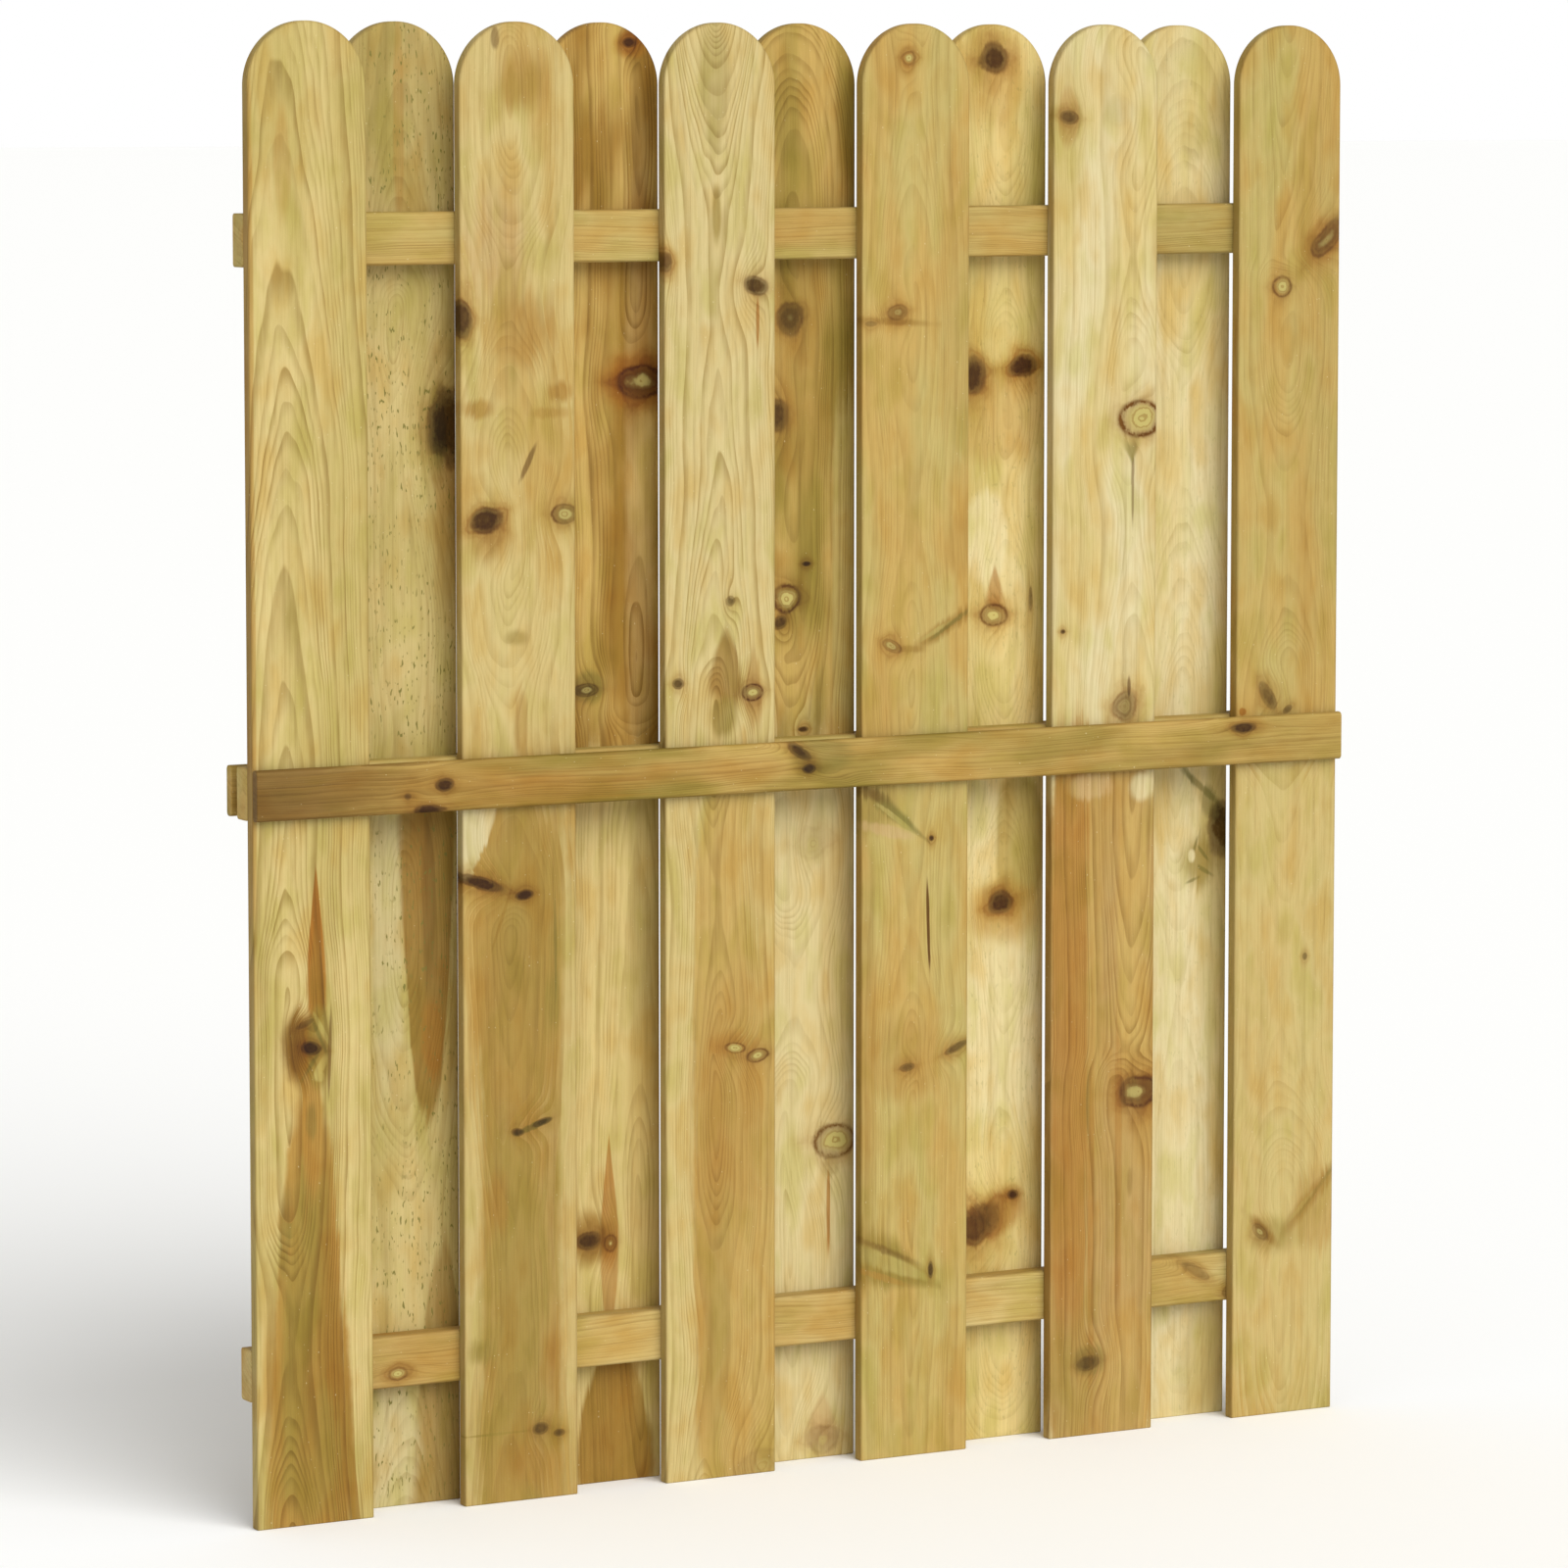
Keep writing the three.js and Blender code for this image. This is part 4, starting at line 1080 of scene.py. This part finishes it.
def add_camera(scene, studio):
    turn, pitch = studio.camera_turn, studio.camera_pitch
    ahead = Vector((math.sin(turn), math.cos(turn), 0.0))
    right = Vector((math.cos(turn), -math.sin(turn), 0.0))
    lens = bpy.data.cameras.new("camera")
    lens.lens = studio.focal_length
    lens.sensor_width = 36.0
    lens.shift_y = studio.lens_shift
    camera = bpy.data.objects.new("camera", lens)
    camera.location = right * studio.camera_aside - ahead * studio.camera_distance
    camera.location.z = studio.camera_height
    camera.rotation_euler = (math.pi / 2 - pitch, 0.0, -turn)
    scene.collection.objects.link(camera)
    scene.camera = camera


def add_floor(scene, studio, reach=150.0):
    mesh = bpy.data.meshes.new("floor")
    corners = [(-reach, -reach, 0), (reach, -reach, 0), (reach, reach, 0), (-reach, reach, 0)]
    mesh.from_pydata(corners, [], [(0, 1, 2, 3)])
    material, _, _ = new_material("plain floor", Base_Color=tuple(studio.floor_colour), Roughness=0.9,
                                  Specular_IOR_Level=0.1)
    mesh.materials.append(material)
    floor = bpy.data.objects.new("floor", mesh)
    scene.collection.objects.link(floor)


def add_lights(scene, studio):
    softness, down_from_above, aside = math.radians(50), math.radians(50), math.radians(8)
    sun = bpy.data.lights.new("sun", "SUN")
    sun.energy = studio.sun_strength
    sun.angle = softness
    lamp = bpy.data.objects.new("sun", sun)
    lamp.rotation_euler = (down_from_above, 0.0, aside)
    scene.collection.objects.link(lamp)

    world = bpy.data.worlds.new("studio")
    world.use_nodes = True
    world.node_tree.nodes.clear()
    sheet = Sheet(world.node_tree)
    seen = Term(sheet, sheet.node("ShaderNodeLightPath").outputs["Is Camera Ray"])
    strength = seen + (1.0 - seen) * studio.sky_strength
    background = sheet.make("ShaderNodeBackground", {"Color": (1.0, 1.0, 1.0), "Strength": strength})
    sheet.node("ShaderNodeOutputWorld", {"Surface": background})
    scene.world = world
    scene.view_settings.view_transform = "Standard"


# ---- Operators ----

class GATE_OT_studio(Operator):
    """Make the floor, the lights and the camera"""
    bl_idname = "gate.studio"
    bl_label = "Studio"

    def execute(self, context):
        for add in (add_camera, add_floor, add_lights):
            add(context.scene, context.scene.gate_studio)
        return {"FINISHED"}


class GATE_OT_boards(Operator):
    """Make the round-topped boards of both faces"""
    bl_idname = "gate.boards"
    bl_label = "Boards"

    def execute(self, context):
        scene = context.scene
        for side, looks in (("front", FRONT_LOOKS), ("back", BACK_LOOKS)):
            for i, look in enumerate(looks):
                make_board(side, i + 1, look, scene.gate_sizes, scene.gate_colours)
        return {"FINISHED"}


class GATE_OT_inner_rails(Operator):
    """Make the three rails between the two rows of boards"""
    bl_idname = "gate.inner_rails"
    bl_label = "Inner Rails"

    def execute(self, context):
        sizes, colours = context.scene.gate_sizes, context.scene.gate_colours
        for i, kind in enumerate(RAILS):
            rows = [staple_rows(side, kind) for side in SIDES]
            make_rail(f"{kind}_rail", "rail_wood", "front", RAIL_LOOKS[kind], sizes.rail_rounding, rows,
                      RAIL_SEED + i, sizes, colours)
        return {"FINISHED"}


class GATE_OT_cover_rails(Operator):
    """Make the cover rail across the middle of each face"""
    bl_idname = "gate.cover_rails"
    bl_label = "Cover Rails"

    def execute(self, context):
        sizes, colours = context.scene.gate_sizes, context.scene.gate_colours
        for i, side in enumerate(SIDES):
            rows = [staple_rows(side, kind) for kind in ("middle", "cover")]
            make_rail(f"{side}_cover_rail", "cover_rail_wood", side, COVER_LOOKS[side], sizes.cover_rounding,
                      rows, COVER_RAIL_SEED + i, sizes, colours)
        return {"FINISHED"}


class GATE_OT_staples(Operator):
    """Make the wire staples, one piece for each row"""
    bl_idname = "gate.staples"
    bl_label = "Staples"

    def execute(self, context):
        sizes = context.scene.gate_sizes
        material = wire_material()
        for side, count in SIDES.items():
            for kind in STAPLES:
                piece = new_piece(f"{side}_{kind}_staples")
                add_nodes(piece, staple_tree(), {**staple_rows(side, kind).values(), **staple_values(sizes),
                                                 "Bend": sizes.staple_bend, "Material": material})
                nodes = [f"{side}_{kind}_staple_{i + 1}" for i in range(count)]
                claim(settle(piece), "galvanised_wire", *nodes)
        return {"FINISHED"}


class GATE_PT_panel(Panel):
    """Sizes, colours and steps of the gate leaf"""
    bl_label = "Garden Gate Leaf"
    bl_idname = "GATE_PT_panel"
    bl_space_type = "VIEW_3D"
    bl_region_type = "UI"
    bl_category = "Gate"

    def draw(self, context):
        layout = self.layout
        for step in STEPS:
            layout.operator(step.bl_idname)
        for group in (context.scene.gate_sizes, context.scene.gate_colours, context.scene.gate_studio):
            column = layout.column()
            for name in group.bl_rna.properties.keys():
                if name not in ("rna_type", "name"):
                    column.prop(group, name)


GROUP_CLASSES = {"gate_sizes": GateSizes, "gate_colours": GateColours, "gate_studio": GateStudio}
STEPS = (GATE_OT_studio, GATE_OT_boards, GATE_OT_inner_rails, GATE_OT_cover_rails, GATE_OT_staples)
CLASSES = (*GROUP_CLASSES.values(), *STEPS, GATE_PT_panel)


def register():
    for each in CLASSES:
        bpy.utils.register_class(each)
    for name, group in GROUP_CLASSES.items():
        setattr(bpy.types.Scene, name, PointerProperty(type=group))


def unregister():
    for name in GROUP_CLASSES:
        delattr(bpy.types.Scene, name)
    for each in reversed(CLASSES):
        bpy.utils.unregister_class(each)


def main():
    register()
    for step in STEPS:
        family, name = step.bl_idname.split(".")
        getattr(getattr(bpy.ops, family), name)()


if __name__ == "__main__":
    main()
